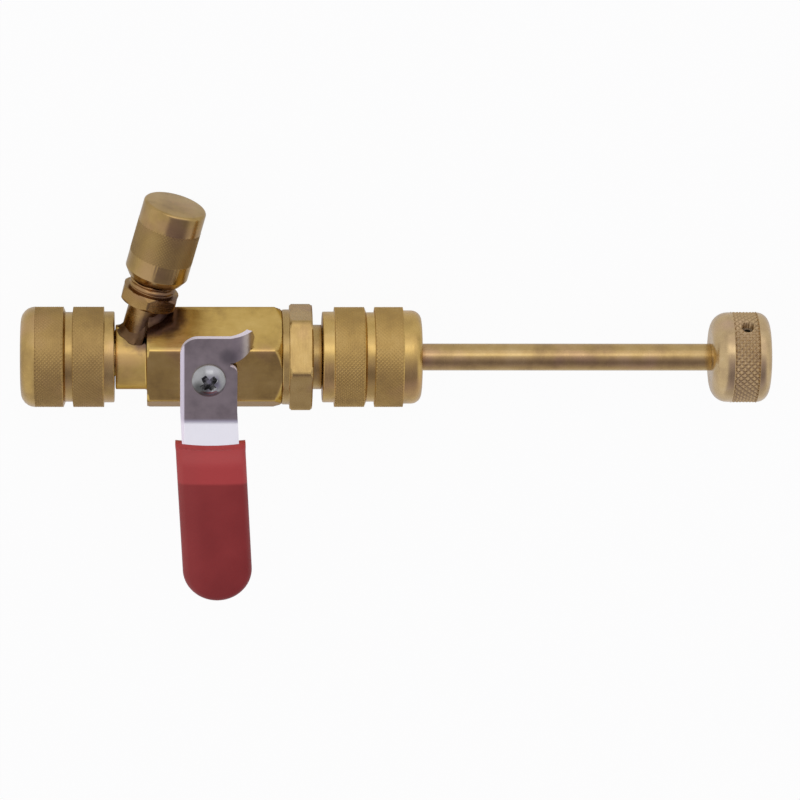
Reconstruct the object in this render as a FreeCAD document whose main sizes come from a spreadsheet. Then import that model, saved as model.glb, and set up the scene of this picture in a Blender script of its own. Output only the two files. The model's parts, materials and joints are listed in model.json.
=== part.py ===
"""Valve core remover: a brass ball valve with a lever, an angled service port with a cap,
a swivel coupler nut at the inlet and a sliding rod with a core gripper at the outlet.

Frame: +X runs along the tool from the mouth of the inlet nut to the knob. The tool lies on
its back, so +Z is up and the lever is on top. Before the tool is laid down, Z is the axis of
the valve stem and +Y is the side of the service port. Lengths are in millimetres.
"""
import FreeCAD, Part
import math
import os
import Sketcher

Vector = FreeCAD.Vector
Rotation = FreeCAD.Rotation
Placement = FreeCAD.Placement

# Driving dimensions: name, value, meaning
SIZES = [
    ("running_fit", 0.06, "radial clearance of turning and sliding fits"),
    ("thread_fit", 0.05, "radial clearance between mating threads"),
    ("face_gap", 0.1, "axial clearance between faces that move past each other"),
    ("loose_gap", 0.3, "clearance between round faces that must not touch"),

    ("inlet_nut_length", 21.95, "inlet nut, end to end"),
    ("nut_knurl_diameter", 23.6, "both nuts, over the knurled bands"),
    ("nut_shoulder_diameter", 21.4, "both nuts, smooth shoulder at the neck side"),
    ("nut_groove_diameter", 21.1, "both nuts, bottom of the middle groove"),
    ("inlet_nut_rounding", 3.4, "radius of the rounded mouth end"),
    ("inlet_band_end", 10.0, "mouth to the end of the first knurled band"),
    ("inlet_groove_width", 2.3, "middle groove of the inlet nut"),
    ("inlet_shoulder_length", 2.45, "smooth shoulder of the inlet nut"),
    ("nut_groove_flank", 0.8, "axial run of the sloped groove side"),
    ("nut_edge_bevel", 0.3, "small bevel of nut edges"),
    ("inlet_thread_diameter", 9.9, "wall of the 7/16-20 female thread, at its crests"),
    ("inlet_thread_depth", 10.0, "length of the female thread"),
    ("inlet_mouth_bevel", 0.8, "countersink at the thread mouth"),
    ("inlet_relief_diameter", 11.6, "clear bore behind the thread"),
    ("inlet_back_wall", 3.45, "back wall of the inlet nut"),

    ("spigot_diameter", 9.0, "spigot that the inlet nut turns on"),
    ("passage_diameter", 6.6, "passage through body and spigot"),
    ("inlet_gasket_thickness", 2.2, "rubber gasket in front of the spigot"),
    ("inlet_gasket_diameter", 11.0, "rubber gasket, outer"),
    ("inlet_ring_thickness", 1.0, "retaining ring on the spigot"),
    ("inlet_ring_diameter", 11.0, "retaining ring, outer"),
    ("inlet_ring_groove", 0.7, "depth of the retaining ring groove"),

    ("nut_neck_gap", 0.25, "gap between inlet nut and neck"),
    ("neck_diameter", 15.2, "both necks"),
    ("inlet_neck_length", 7.4, "neck between inlet nut and hexagon"),
    ("body_length", 31.5, "hexagonal part of the valve body"),
    ("body_hex", 22.225, "across flats of the valve body"),
    ("body_end_bevel", 1.64, "turned bevel at the outlet end of the hexagon"),
    ("body_start_bevel", 0.5, "turned bevel at the inlet end of the hexagon"),

    ("stem_station", 14.4, "start of the hexagon to the stem axis"),
    ("boss_diameter", 11.2, "stem boss on the upper flat"),
    ("boss_height", 1.0, "stem boss above the flat"),
    ("ball_diameter", 14.0, "ball"),
    ("ball_bore", 7.0, "bore of the ball"),
    ("ball_slot_width", 2.5, "slot for the stem's tang"),
    ("ball_slot_depth", 2.2, "slot for the stem's tang, below the ball's top"),
    ("seat_reach", 9.2, "ball centre to the back of each seat"),
    ("seat_bore", 7.2, "bore of each seat"),
    ("cavity_diameter", 16.0, "ball chamber and adapter thread"),

    ("stem_diameter", 7.0, "valve stem"),
    ("stem_tang_width", 5.6, "tang of the stem, long side"),
    ("stem_tang_thickness", 2.4, "tang of the stem, short side"),
    ("stem_flange_diameter", 8.6, "flange that keeps the stem in the body"),
    ("stem_flange_thickness", 1.4, "flange that keeps the stem in the body"),
    ("stem_flange_gap", 0.3, "ball's top to the flange"),
    ("stem_pocket_diameter", 10.0, "pocket for flange and washer, from inside"),
    ("stem_washer_thickness", 0.6, "thrust washer"),
    ("stem_washer_diameter", 9.7, "thrust washer, outer"),
    ("stem_ring_section", 0.84, "O-ring of the stem, section"),
    ("stem_ring_groove_width", 1.3, "groove of the stem's O-ring"),
    ("stem_ring_height", 1.0, "washer's top to the groove"),
    ("stem_flats", 5.0, "across the two flats that drive the lever"),

    ("lever_thickness", 1.5, "lever sheet"),
    ("lever_width", 13.3, "lever sheet, width"),
    ("lever_head_reach", 10.5, "stem axis to the head end of the lever"),
    ("lever_corner", 3.4, "rounded corner of the lever's head"),
    ("lever_bend_start", 10.9, "stem axis to the foot of the offset"),
    ("lever_bend_run", 8.1, "length of the offset, along the lever"),
    ("lever_offset", 5.0, "height of the offset"),
    ("lever_bend_radius", 2.2, "inner radius of the two offset bends"),
    ("lever_tip_reach", 52.9, "stem axis to the lever's tip"),
    ("lever_lean_start", 8.0, "stem axis to where the blade starts to lean"),
    ("lever_lean", 2.1, "sideways shift of the blade's tip toward the outlet"),
    ("flap_radius", 4.5, "inner radius of the stop flap's bend"),
    ("flap_angle", 60.0, "angle that the stop flap is bent through"),
    ("flap_start", 5.0, "stem axis to the flap's bend, toward the outlet"),
    ("flap_low", 4.2, "stem axis to the flap's lower root"),
    ("flap_notch", 0.8, "relief notch between flap and blade"),
    ("flap_reach", 5.0, "flap's bend to its outermost point, seen from above"),
    ("flap_corner", 1.1, "flap's outer corner, below the head of the lever"),
    ("flap_rise", 0.8, "flap's upper corner, beyond the head of the lever"),
    ("flap_rounding", 12.0, "radius of the flap's lobe, seen from above"),

    ("grip_wall", 1.5, "vinyl sleeve on the lever"),
    ("grip_start", 15.0, "stem axis to the open end of the sleeve"),

    ("screw_diameter", 4.0, "lever screw"),
    ("screw_head_diameter", 8.0, "domed head"),
    ("screw_head_height", 2.5, "domed head"),
    ("screw_head_edge", 0.5, "straight edge under the dome"),
    ("screw_length", 5.4, "under the head"),
    ("screw_recess_width", 1.0, "cross recess, width of a wing"),
    ("screw_recess_span", 4.2, "cross recess, over both wings"),
    ("screw_recess_depth", 1.5, "cross recess, from the dome's top"),

    ("port_setback", 3.6, "start of the hexagon back to where the port axis meets the tool axis"),
    ("port_lean", 15.0, "lean of the port toward the outlet, degrees"),
    ("port_neck_diameter", 8.4, "lower neck of the port fitting"),
    ("port_socket_floor", 5.3, "tool axis to the floor of the port's socket"),
    ("port_braze_gap", 0.05, "radial gap that the braze fills"),
    ("port_hex_start", 14.0, "tool axis to the port's hexagon"),
    ("port_hex_length", 4.0, "hexagon of the port fitting"),
    ("port_hex", 12.7, "across flats of the port fitting"),
    ("port_clocking", 26.0, "turn of the port's hexagon about its own axis, degrees"),
    ("port_hex_bevel", 0.7, "turned bevel of the port's hexagon"),
    ("port_thread_diameter", 11.0, "7/16-20 male thread"),
    ("port_thread_length", 16.0, "male thread"),
    ("port_thread_bevel", 0.8, "bevel at the end of the male thread"),
    ("port_bore", 4.0, "bore below the valve core"),
    ("core_chamber_diameter", 5.3, "chamber of the valve core"),
    ("core_chamber_depth", 14.5, "chamber of the valve core, from the port's end"),

    ("core_recess", 2.3, "port's end to the top of the core body"),
    ("core_body_length", 6.2, "core body"),
    ("core_body_neck", 4.0, "core body, diameter of the wrench end"),
    ("core_body_neck_length", 2.2, "core body, wrench end"),
    ("core_spring_bore", 3.1, "core body, spring chamber"),
    ("core_guide_length", 2.0, "core body, pin guide"),
    ("core_seal_thickness", 1.0, "seal under the core body"),
    ("core_pin_diameter", 1.0, "core pin"),
    ("core_pin_head", 4.2, "core pin, valve head"),
    ("core_pin_head_height", 1.3, "core pin, valve head"),
    ("core_pin_collar", 2.4, "core pin, spring collar"),
    ("core_pin_collar_height", 0.5, "core pin, spring collar"),
    ("core_spring_height", 3.4, "core spring as fitted"),
    ("core_spring_wire", 0.3, "core spring, wire"),
    ("core_spring_diameter", 2.0, "core spring, middle of the wire"),
    ("core_spring_turns", 4.0, "core spring, turns"),
    ("core_pin_recess", 0.6, "port's end to the tip of the pin"),

    ("cap_diameter", 14.95, "port cap"),
    ("cap_length", 19.0, "port cap"),
    ("cap_gap", 2.8, "port's hexagon to the cap"),
    ("cap_taper_length", 1.8, "tapered mouth of the cap"),
    ("cap_mouth_diameter", 12.4, "cap, at the mouth"),
    ("cap_top_bevel", 0.6, "bevel around the cap's top"),
    ("cap_gasket_thickness", 1.3, "gasket in the cap"),
    ("cap_gasket_bore", 3.0, "gasket in the cap"),

    ("adapter_collar_length", 1.9, "round collar against the body"),
    ("adapter_collar_diameter", 22.4, "round collar against the body"),
    ("adapter_hex_length", 5.3, "hexagon of the adapter"),
    ("adapter_hex", 22.225, "across flats of the adapter"),
    ("adapter_hex_bevel", 0.5, "turned bevel of the adapter's hexagon"),
    ("adapter_clocking", 4.0, "turn of the adapter's hexagon from corners up, degrees"),
    ("adapter_neck_length", 2.3, "neck between hexagon and outlet nut"),
    ("adapter_bore", 7.5, "passage through the adapter"),
    ("adapter_ring_section", 1.4, "O-ring of the adapter, section"),
    ("adapter_ring_groove_width", 1.9, "groove of the adapter's O-ring"),
    ("adapter_ring_station", 1.5, "adapter's inner end to the groove"),
    ("outlet_thread_diameter", 13.5, "male thread for the outlet nut, pitch diameter"),
    ("outlet_thread_length", 7.4, "male thread for the outlet nut"),

    ("outlet_nut_gap", 0.15, "gap between neck and outlet nut"),
    ("outlet_nut_length", 23.35, "outlet nut, end to end"),
    ("outlet_shoulder_length", 2.85, "smooth shoulder at the neck side"),
    ("outlet_band_length", 7.0, "first knurled band"),
    ("outlet_groove_width", 2.5, "middle groove"),
    ("outlet_second_band", 6.6, "second knurled band"),
    ("outlet_end_diameter", 22.0, "smooth end of the outlet nut"),
    ("outlet_end_rounding", 2.4, "rounding of the smooth end"),
    ("outlet_thread_reach", 9.2, "length of the female thread"),
    ("outlet_relief_diameter", 14.4, "clear bore behind the thread"),
    ("outlet_end_wall", 2.6, "end wall of the outlet nut"),
    ("outlet_rod_hole", 7.2, "hole for the rod in the end wall"),

    ("gland_gasket_thickness", 1.0, "gasket between adapter and gland"),
    ("gland_gasket_bore", 7.8, "gasket between adapter and gland"),
    ("gland_end_gap", 0.2, "gland to the nut's end wall"),
    ("gland_ring_section", 1.58, "O-rings on the rod, section"),
    ("gland_ring_groove_width", 2.1, "grooves of the rod's O-rings"),
    ("gland_ring_groove_diameter", 9.7, "grooves of the rod's O-rings"),
    ("gland_ring_first", 2.3, "gland's inner end to the first groove"),
    ("gland_ring_spacing", 5.0, "first groove to second groove"),

    ("rod_diameter", 6.35, "rod"),
    ("rod_reach", 68.5, "outlet nut to the knob, rod drawn out"),
    ("rod_ring_thickness", 1.0, "stop ring on the rod"),
    ("rod_ring_diameter", 6.9, "stop ring on the rod"),
    ("rod_ring_groove", 0.6, "depth of the stop ring's groove"),
    ("rod_ring_shoulder", 1.4, "rod's inner end to the stop ring"),
    ("rod_tail_diameter", 3.0, "threaded tail for the gripper"),
    ("rod_tail_length", 4.0, "threaded tail for the gripper"),

    ("gripper_length", 10.5, "core gripper"),
    ("gripper_diameter", 5.2, "core gripper, socket end"),
    ("gripper_root_diameter", 6.2, "core gripper, rod end"),
    ("gripper_root_length", 5.0, "core gripper, rod end"),
    ("gripper_socket_diameter", 3.4, "socket for the valve core"),
    ("gripper_socket_depth", 3.0, "socket for the valve core, to the magnet"),
    ("gripper_slot_width", 0.9, "cross slots of the socket"),
    ("gripper_slot_depth", 2.4, "cross slots of the socket"),
    ("magnet_diameter", 3.0, "magnet at the socket's bottom"),
    ("magnet_length", 2.5, "magnet at the socket's bottom"),

    ("knob_length", 13.8, "knob"),
    ("knob_diameter", 21.4, "knob"),
    ("knob_rounding", 4.0, "rounded shoulders of the knob"),
    ("knob_end_wall", 2.0, "closed end of the knob"),
    ("knob_socket_fit", 0.03, "radial gap of the rod in the knob"),
    ("pin_station", 8.1, "inner end of the knob to the cross pin"),
    ("pin_diameter", 3.0, "spring pin"),
    ("pin_wall", 0.55, "spring pin, wall"),
    ("pin_slot_width", 0.6, "spring pin, slot"),
    ("pin_length", 17.0, "spring pin"),
    ("pin_hole_fit", 0.03, "radial gap of the pin's hole"),
    ("pin_clocking", 66.5, "turn of the cross pin from the stem axis toward the port, degrees"),
]

# How far cutting shapes run past the faces they cut
OVERRUN = 1.0
# Outside of the ring that mills a hexagon, over its flats, and reach of a cross hole in its diameters
RING_OVER_FLATS = 1.6
HOLE_REACH = 20.0


class Size:
    """A length or angle with its value now and the sheet expression that drives it."""

    def __init__(self, value, text):
        self.value = float(value)
        self.text = text

    def __add__(self, other):
        other = as_size(other)
        return Size(self.value + other.value, "(%s + %s)" % (self.text, other.text))

    def __sub__(self, other):
        other = as_size(other)
        return Size(self.value - other.value, "(%s - %s)" % (self.text, other.text))

    def __mul__(self, other):
        other = as_size(other)
        return Size(self.value * other.value, "(%s * %s)" % (self.text, other.text))

    def __truediv__(self, other):
        other = as_size(other)
        return Size(self.value / other.value, "(%s / %s)" % (self.text, other.text))

    def __rsub__(self, other):
        return as_size(other) - self

    def __neg__(self):
        return Size(-self.value, "(-1 * %s)" % self.text)

    __radd__ = __add__
    __rmul__ = __mul__


def as_size(number):
    """A plain number becomes a Size with the number as its expression."""
    if isinstance(number, Size):
        return number
    return Size(number, repr(float(number)))


def sine(angle):
    angle = as_size(angle)
    return Size(math.sin(math.radians(angle.value)), "sin(%s)" % angle.text)


def cosine(angle):
    angle = as_size(angle)
    return Size(math.cos(math.radians(angle.value)), "cos(%s)" % angle.text)


def tangent(angle):
    angle = as_size(angle)
    return Size(math.tan(math.radians(angle.value)), "tan(%s)" % angle.text)


def root(number):
    number = as_size(number)
    return Size(math.sqrt(number.value), "sqrt(%s)" % number.text)


def slope_angle(rise, run):
    rise = as_size(rise)
    run = as_size(run)
    degrees = math.degrees(math.atan2(rise.value, run.value))
    return Size(degrees, "atan(%s / %s)" % (rise.text, run.text))


doc = FreeCAD.newDocument("valve_core_remover")
sheet = doc.addObject("Spreadsheet::Sheet", "Sizes")
size = {}
for row, (alias, value, meaning) in enumerate(SIZES, start=1):
    sheet.set("A%d" % row, meaning)
    sheet.set("B%d" % row, str(value))
    sheet.setAlias("B%d" % row, alias)
    size[alias] = Size(value, "Sizes.%s" % alias)
doc.recompute()


class Bend:
    """An arc between the points before and after it in an outline.

    The centre is to the left of the way the outline runs, or to its right.
    """

    def __init__(self, radius, side="left"):
        self.radius = as_size(radius)
        self.side = side


def half(number):
    return number / 2.0


# Sketches and features

def new_sketch(body, name, role, lift=None):
    """A sketch on one of the body's own origin planes, raised along its normal by lift."""
    sketch = body.newObject("Sketcher::SketchObject", name)
    planes = [item for item in body.Origin.OriginFeatures if item.Role == role]
    sketch.AttachmentSupport = (planes[0], [""])
    sketch.MapMode = "FlatFace"
    if lift is not None:
        sketch.AttachmentOffset = Placement(Vector(0, 0, lift.value), Rotation())
        sketch.setExpression("AttachmentOffset.Base.z", lift.text)
    return sketch


def free_sketch(name, turn):
    """A sketch of its own, turned to the plane that it is drawn in."""
    sketch = doc.addObject("Sketcher::SketchObject", name)
    sketch.Placement = Placement(Vector(0, 0, 0), turn)
    return sketch


def extrude(label, sketch, direction, length, symmetric=False):
    """A solid from a sketch of its own, along a direction."""
    solid = doc.addObject("Part::Extrusion", label)
    solid.Base = sketch
    solid.DirMode = "Custom"
    solid.Dir = direction
    length = as_size(length)
    solid.LengthFwd = length.value
    solid.setExpression("LengthFwd", length.text)
    solid.Solid = True
    solid.Symmetric = symmetric
    return solid


def combine(kind, label, base, tool):
    """A boolean of two objects: Part::Common, Part::Fuse or Part::Cut."""
    result = doc.addObject(kind, label)
    result.Label = label
    result.Base = base
    result.Tool = tool
    return result


def pin_point(sketch, edge, end, point):
    """Ties a point of an edge to the sheet, by its two distances from the sketch's origin."""
    for axis, kind, size_of in ((0, "DistanceX", point[0]), (1, "DistanceY", point[1])):
        constraint = Sketcher.Constraint(kind, -1, 1, edge, end, size_of.value)
        index = sketch.addConstraint(constraint)
        name = "%s_%d_%d" % ("along" if axis == 0 else "across", edge, end)
        sketch.renameConstraint(index, name)
        sketch.setExpression("Constraints.%s" % name, size_of.text)


def arc_between(start, finish, bend):
    """The short arc from start to finish, and which of its ends is the start."""
    chord = finish - start
    left = Vector(-chord.y, chord.x, 0)
    left.normalize()
    height = math.sqrt(max(bend.radius.value ** 2 - (chord.Length / 2.0) ** 2, 0.0))
    turning_left = bend.side == "left"
    centre = start + chord * 0.5 + left * (height if turning_left else -height)
    first, last = (start, finish) if turning_left else (finish, start)
    angle_first = math.atan2(first.y - centre.y, first.x - centre.x)
    angle_last = math.atan2(last.y - centre.y, last.x - centre.x)
    circle = Part.Circle(centre, Vector(0, 0, 1), bend.radius.value)
    arc = Part.ArcOfCircle(circle, angle_first, angle_last)
    return arc, (1, 2) if turning_left else (2, 1)


def draw_outline(sketch, outline):
    """Closes an outline of points and bends; every point is tied to the sheet."""
    points = []
    bends = {}
    for item in outline:
        if isinstance(item, Bend):
            bends[len(points) - 1] = item
        else:
            points.append((as_size(item[0]), as_size(item[1])))
    count = len(points)
    edges = []
    for index in range(count):
        start = Vector(points[index][0].value, points[index][1].value, 0)
        following = points[(index + 1) % count]
        finish = Vector(following[0].value, following[1].value, 0)
        if index in bends:
            arc, ends = arc_between(start, finish, bends[index])
            edge = sketch.addGeometry(arc, False)
        else:
            edge = sketch.addGeometry(Part.LineSegment(start, finish), False)
            ends = (1, 2)
        edges.append((edge, ends))
    for index in range(count):
        edge, ends = edges[index]
        next_edge, next_ends = edges[(index + 1) % count]
        sketch.addConstraint(Sketcher.Constraint("Coincident", edge, ends[1], next_edge, next_ends[0]))
    for index in range(count):
        edge, ends = edges[index]
        pin_point(sketch, edge, ends[0], points[index])
        if index in bends:
            radius = bends[index].radius
            constraint = sketch.addConstraint(Sketcher.Constraint("Radius", edge, radius.value))
            name = "radius_%d" % edge
            sketch.renameConstraint(constraint, name)
            sketch.setExpression("Constraints.%s" % name, radius.text)


def draw_circle(sketch, centre, diameter):
    """A circle about a point, both tied to the sheet."""
    along = as_size(centre[0])
    across = as_size(centre[1])
    radius = half(as_size(diameter))
    middle = Vector(along.value, across.value, 0)
    edge = sketch.addGeometry(Part.Circle(middle, Vector(0, 0, 1), radius.value), False)
    pin_point(sketch, edge, 3, (along, across))
    constraint = sketch.addConstraint(Sketcher.Constraint("Radius", edge, radius.value))
    name = "radius_%d" % edge
    sketch.renameConstraint(constraint, name)
    sketch.setExpression("Constraints.%s" % name, radius.text)


def draw_axis(sketch, start, finish):
    """A construction line to turn a profile about."""
    ends = [(as_size(along), as_size(across)) for along, across in (start, finish)]
    places = [Vector(along.value, across.value, 0) for along, across in ends]
    edge = sketch.addGeometry(Part.LineSegment(places[0], places[1]), True)
    pin_point(sketch, edge, 1, ends[0])
    pin_point(sketch, edge, 2, ends[1])


def finish_feature(body, feature, cuts):
    """Makes the feature the body's tip and stops if a cut left the solid as it was."""
    before = body.Shape.Volume if cuts else 0.0
    body.Tip = feature
    doc.recompute()
    if cuts and not body.Shape.Volume < before:
        raise RuntimeError("%s cuts nothing" % feature.Name)


def turned(label, outline):
    """A body turned about its own X axis; the outline gives stations and radii."""
    body = doc.addObject("PartDesign::Body", label)
    body.Label = label
    sketch = new_sketch(body, label + "_profile", "XY_Plane")
    draw_outline(sketch, outline)
    feature = body.newObject("PartDesign::Revolution", label + "_turned")
    feature.Profile = sketch
    feature.ReferenceAxis = (sketch, ["H_Axis"])
    feature.Angle = 360
    finish_feature(body, feature, cuts=False)
    return body


def spin(body, name, role, outline, axis, cuts=True):
    """Turns an outline about a line in the sketch, as a cut or as added metal."""
    sketch = new_sketch(body, name + "_profile", role)
    draw_outline(sketch, outline)
    draw_axis(sketch, axis[0], axis[1])
    kind = "PartDesign::Groove" if cuts else "PartDesign::Revolution"
    feature = body.newObject(kind, name)
    feature.Profile = sketch
    feature.ReferenceAxis = (sketch, ["Axis0"])
    feature.Angle = 360
    finish_feature(body, feature, cuts)


def cut_through(body, name, role, draw, lift, length, reversed_cut=False, symmetric=False):
    """Pockets a drawn profile over a length measured from the raised sketch."""
    sketch = new_sketch(body, name + "_profile", role, lift)
    draw(sketch)
    feature = body.newObject("PartDesign::Pocket", name)
    feature.Profile = sketch
    if symmetric:
        feature.SideType = "Symmetric"
    length = as_size(length)
    feature.Length = length.value
    feature.setExpression("Length", length.text)
    feature.Reversed = reversed_cut
    finish_feature(body, feature, cuts=True)


def rectangle(low, high):
    return [(low[0], low[1]), (high[0], low[1]), (high[0], high[1]), (low[0], high[1])]


def hexagon(across_flats, clocking):
    """Six corners, the first at the clocking angle."""
    corner = across_flats / math.sqrt(3.0)
    corners = []
    for step in range(6):
        angle = as_size(clocking) + 60.0 * step
        corners.append((corner * cosine(angle), corner * sine(angle)))
    return corners


def mill_hexagon(body, name, across_flats, clocking, start, length):
    """Cuts away what stands outside a hexagon about the X axis."""
    def draw(sketch):
        draw_outline(sketch, hexagon(across_flats, clocking))
        draw_circle(sketch, (0, 0), across_flats * RING_OVER_FLATS)
    cut_through(body, name, "YZ_Plane", draw, start, length, reversed_cut=True)


def cross_hole(body, name, role, station, diameter):
    """Drills a round hole right through, square to the sketch plane."""
    def draw(sketch):
        draw_circle(sketch, (station, 0), diameter)
    cut_through(body, name, role, draw, None, diameter * HOLE_REACH, symmetric=True)


def ring_torus(label, station, middle_diameter, section):
    """An O-ring about the X axis."""
    body = doc.addObject("PartDesign::Body", label)
    body.Label = label
    sketch = new_sketch(body, label + "_section", "XY_Plane")
    draw_circle(sketch, (station, half(middle_diameter)), section)
    feature = body.newObject("PartDesign::Revolution", label + "_swept")
    feature.Profile = sketch
    feature.ReferenceAxis = (sketch, ["H_Axis"])
    feature.Angle = 360
    finish_feature(body, feature, cuts=False)
    return body


# Stations along the tool, from the mouth of the inlet nut

body_start = size["inlet_nut_length"] + size["nut_neck_gap"] + size["inlet_neck_length"]
body_end = body_start + size["body_length"]
stem_at = body_start + size["stem_station"]
seat_back_inlet = stem_at - size["seat_reach"]
adapter_inner_end = stem_at + size["seat_reach"]
adapter_hex_start = body_end + size["adapter_collar_length"]
adapter_hex_end = adapter_hex_start + size["adapter_hex_length"]
adapter_neck_end = adapter_hex_end + size["adapter_neck_length"]
adapter_end = adapter_neck_end + size["outlet_thread_length"]
outlet_nut_start = adapter_neck_end + size["outlet_nut_gap"]
outlet_nut_end = outlet_nut_start + size["outlet_nut_length"]
gland_gasket_start = adapter_end + size["face_gap"]
gland_start = gland_gasket_start + size["gland_gasket_thickness"]
gland_end = outlet_nut_end - size["outlet_end_wall"] - size["gland_end_gap"]
stop_ring_end = gland_start - 2.0 * size["face_gap"]
stop_ring_start = stop_ring_end - size["rod_ring_thickness"]
rod_inner_end = stop_ring_start - size["rod_ring_shoulder"]
gripper_tip = rod_inner_end - size["gripper_length"]
knob_start = outlet_nut_end + size["rod_reach"]
knob_end = knob_start + size["knob_length"]
rod_outer_end = knob_end - size["knob_end_wall"]
pin_at = knob_start + size["pin_station"]

# Heights along the stem, from the tool axis

ball_top = half(size["ball_diameter"])
flange_bottom = ball_top + size["stem_flange_gap"]
flange_top = flange_bottom + size["stem_flange_thickness"]
washer_bottom = flange_top + half(size["face_gap"])
washer_top = washer_bottom + size["stem_washer_thickness"]
boss_top = half(size["body_hex"]) + size["boss_height"]
lever_bottom = boss_top + size["face_gap"]
lever_top = lever_bottom + size["lever_thickness"]
stem_top = lever_top - size["face_gap"]

# Distances along the port, from the tool axis

port_crossing = body_start - size["port_setback"]
port_thread_start = size["port_hex_start"] + size["port_hex_length"]
port_end = port_thread_start + size["port_thread_length"]
cap_start = port_thread_start + size["cap_gap"]
cap_end = cap_start + size["cap_length"]
cap_gasket_start = port_end + size["face_gap"]
cap_roof = cap_gasket_start + size["cap_gasket_thickness"] + size["face_gap"]
core_top = port_end - size["core_recess"]
core_bottom = core_top - size["core_body_length"]
core_shoulder = core_bottom + size["core_guide_length"]
seal_bottom = core_bottom - size["core_seal_thickness"]
pin_head_top = seal_bottom - size["face_gap"]
pin_collar_bottom = core_shoulder + size["core_spring_height"]


def valve_body():
    """Spigot, neck and hexagonal bar with the ball chamber, stem boss and port socket."""
    spigot_end = size["inlet_thread_depth"] + size["loose_gap"] + size["inlet_gasket_thickness"]
    spigot = half(size["spigot_diameter"])
    ring_at = size["inlet_nut_length"] - size["inlet_back_wall"] - size["face_gap"]
    groove_start = ring_at - size["inlet_ring_thickness"]
    groove_floor = spigot - size["inlet_ring_groove"]
    neck_start = size["inlet_nut_length"] + size["nut_neck_gap"]
    neck = half(size["neck_diameter"])
    blank = size["body_hex"] / math.sqrt(3.0)
    passage = half(size["passage_diameter"])
    cavity = half(size["cavity_diameter"])
    body = turned("valve_body", [
        (spigot_end, passage),
        (seat_back_inlet, passage),
        (seat_back_inlet, cavity),
        (body_end, cavity),
        (body_end, blank - size["body_end_bevel"]),
        (body_end - size["body_end_bevel"], blank),
        (body_start + size["body_start_bevel"], blank),
        (body_start, blank - size["body_start_bevel"]),
        (body_start, neck),
        (neck_start, neck),
        (neck_start, spigot),
        (ring_at, spigot),
        (ring_at, groove_floor),
        (groove_start, groove_floor),
        (groove_start, spigot),
        (spigot_end, spigot),
    ])
    mill_hexagon(body, "valve_body_flats", size["body_hex"], 0.0, body_start, size["body_length"])

    boss = half(size["boss_diameter"])
    boss_root = boss_top - 2.0 * size["boss_height"]
    axis = ((stem_at, boss_root), (stem_at, boss_top))
    spin(body, "valve_body_boss", "XZ_Plane", [
        (stem_at, boss_root),
        (stem_at + boss, boss_root),
        (stem_at + boss, boss_top),
        (stem_at, boss_top),
    ], axis, cuts=False)

    pocket = half(size["stem_pocket_diameter"])
    stem_hole = half(size["stem_diameter"]) + size["running_fit"]
    above = boss_top + OVERRUN
    pocket_root = ball_top - 2.0 * OVERRUN
    spin(body, "valve_body_stem_hole", "XZ_Plane", [
        (stem_at, pocket_root),
        (stem_at + pocket, pocket_root),
        (stem_at + pocket, washer_top),
        (stem_at + stem_hole, washer_top),
        (stem_at + stem_hole, above),
        (stem_at, above),
    ], axis)

    lean = size["port_lean"]
    socket = half(size["port_neck_diameter"]) + size["port_braze_gap"]
    bore = half(size["port_bore"])
    floor = size["port_socket_floor"]
    spot_face = size["port_hex_start"]
    outside = spot_face + size["port_hex_length"]
    spot = size["port_hex"] / math.sqrt(3.0) + size["loose_gap"]

    def on_port(distance, radius):
        along = port_crossing + distance * sine(lean) + radius * cosine(lean)
        return along, distance * cosine(lean) - radius * sine(lean)

    middle = as_size(0.0)
    spin(body, "valve_body_port_socket", "XY_Plane", [
        on_port(middle, middle),
        on_port(middle, bore),
        on_port(floor, bore),
        on_port(floor, socket),
        on_port(spot_face, socket),
        on_port(spot_face, spot),
        on_port(outside, spot),
        on_port(outside, middle),
    ], (on_port(middle, middle), on_port(outside, middle)))
    return body


def knurled_nut_outline(start, first_edge, groove_start, groove_width):
    """The sloped middle groove that both nuts have, from one band to the next."""
    band = half(size["nut_knurl_diameter"])
    floor = half(size["nut_groove_diameter"])
    groove_end = start + groove_start + groove_width
    return [
        (start + first_edge, band),
        (start + groove_start, band),
        (start + groove_start + size["nut_groove_flank"], floor),
        (groove_end - half(size["nut_edge_bevel"]), floor),
        (groove_end, band),
    ]


def inlet_nut():
    """Coupler nut with a female thread at its mouth, turning on the spigot."""
    band = half(size["nut_knurl_diameter"])
    shoulder = half(size["nut_shoulder_diameter"])
    rounding = size["inlet_nut_rounding"]
    thread = half(size["inlet_thread_diameter"])
    relief = half(size["inlet_relief_diameter"])
    hole = half(size["spigot_diameter"]) + size["running_fit"]
    length = size["inlet_nut_length"]
    bevel = size["nut_edge_bevel"]
    shoulder_start = length - size["inlet_shoulder_length"]
    back = length - size["inlet_back_wall"]
    mouth = size["inlet_mouth_bevel"]
    groove = knurled_nut_outline(as_size(0.0), rounding, size["inlet_band_end"], size["inlet_groove_width"])
    outline = [
        (length, hole),
        (length, shoulder - bevel),
        (length - bevel, shoulder),
        (shoulder_start, shoulder),
        (shoulder_start, band),
    ]
    outline += list(reversed(groove))
    outline += [
        Bend(rounding),
        (0.0, band - rounding),
        (0.0, thread + mouth),
        (mouth, thread),
        (size["inlet_thread_depth"], thread),
        (size["inlet_thread_depth"], relief),
        (back, relief),
        (back, hole),
    ]
    return turned("inlet_nut", outline)


def inlet_gasket():
    start = size["inlet_thread_depth"] + size["loose_gap"]
    end = start + size["inlet_gasket_thickness"]
    low = (start, half(size["passage_diameter"]))
    return turned("inlet_gasket", rectangle(low, (end, half(size["inlet_gasket_diameter"]))))


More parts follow.
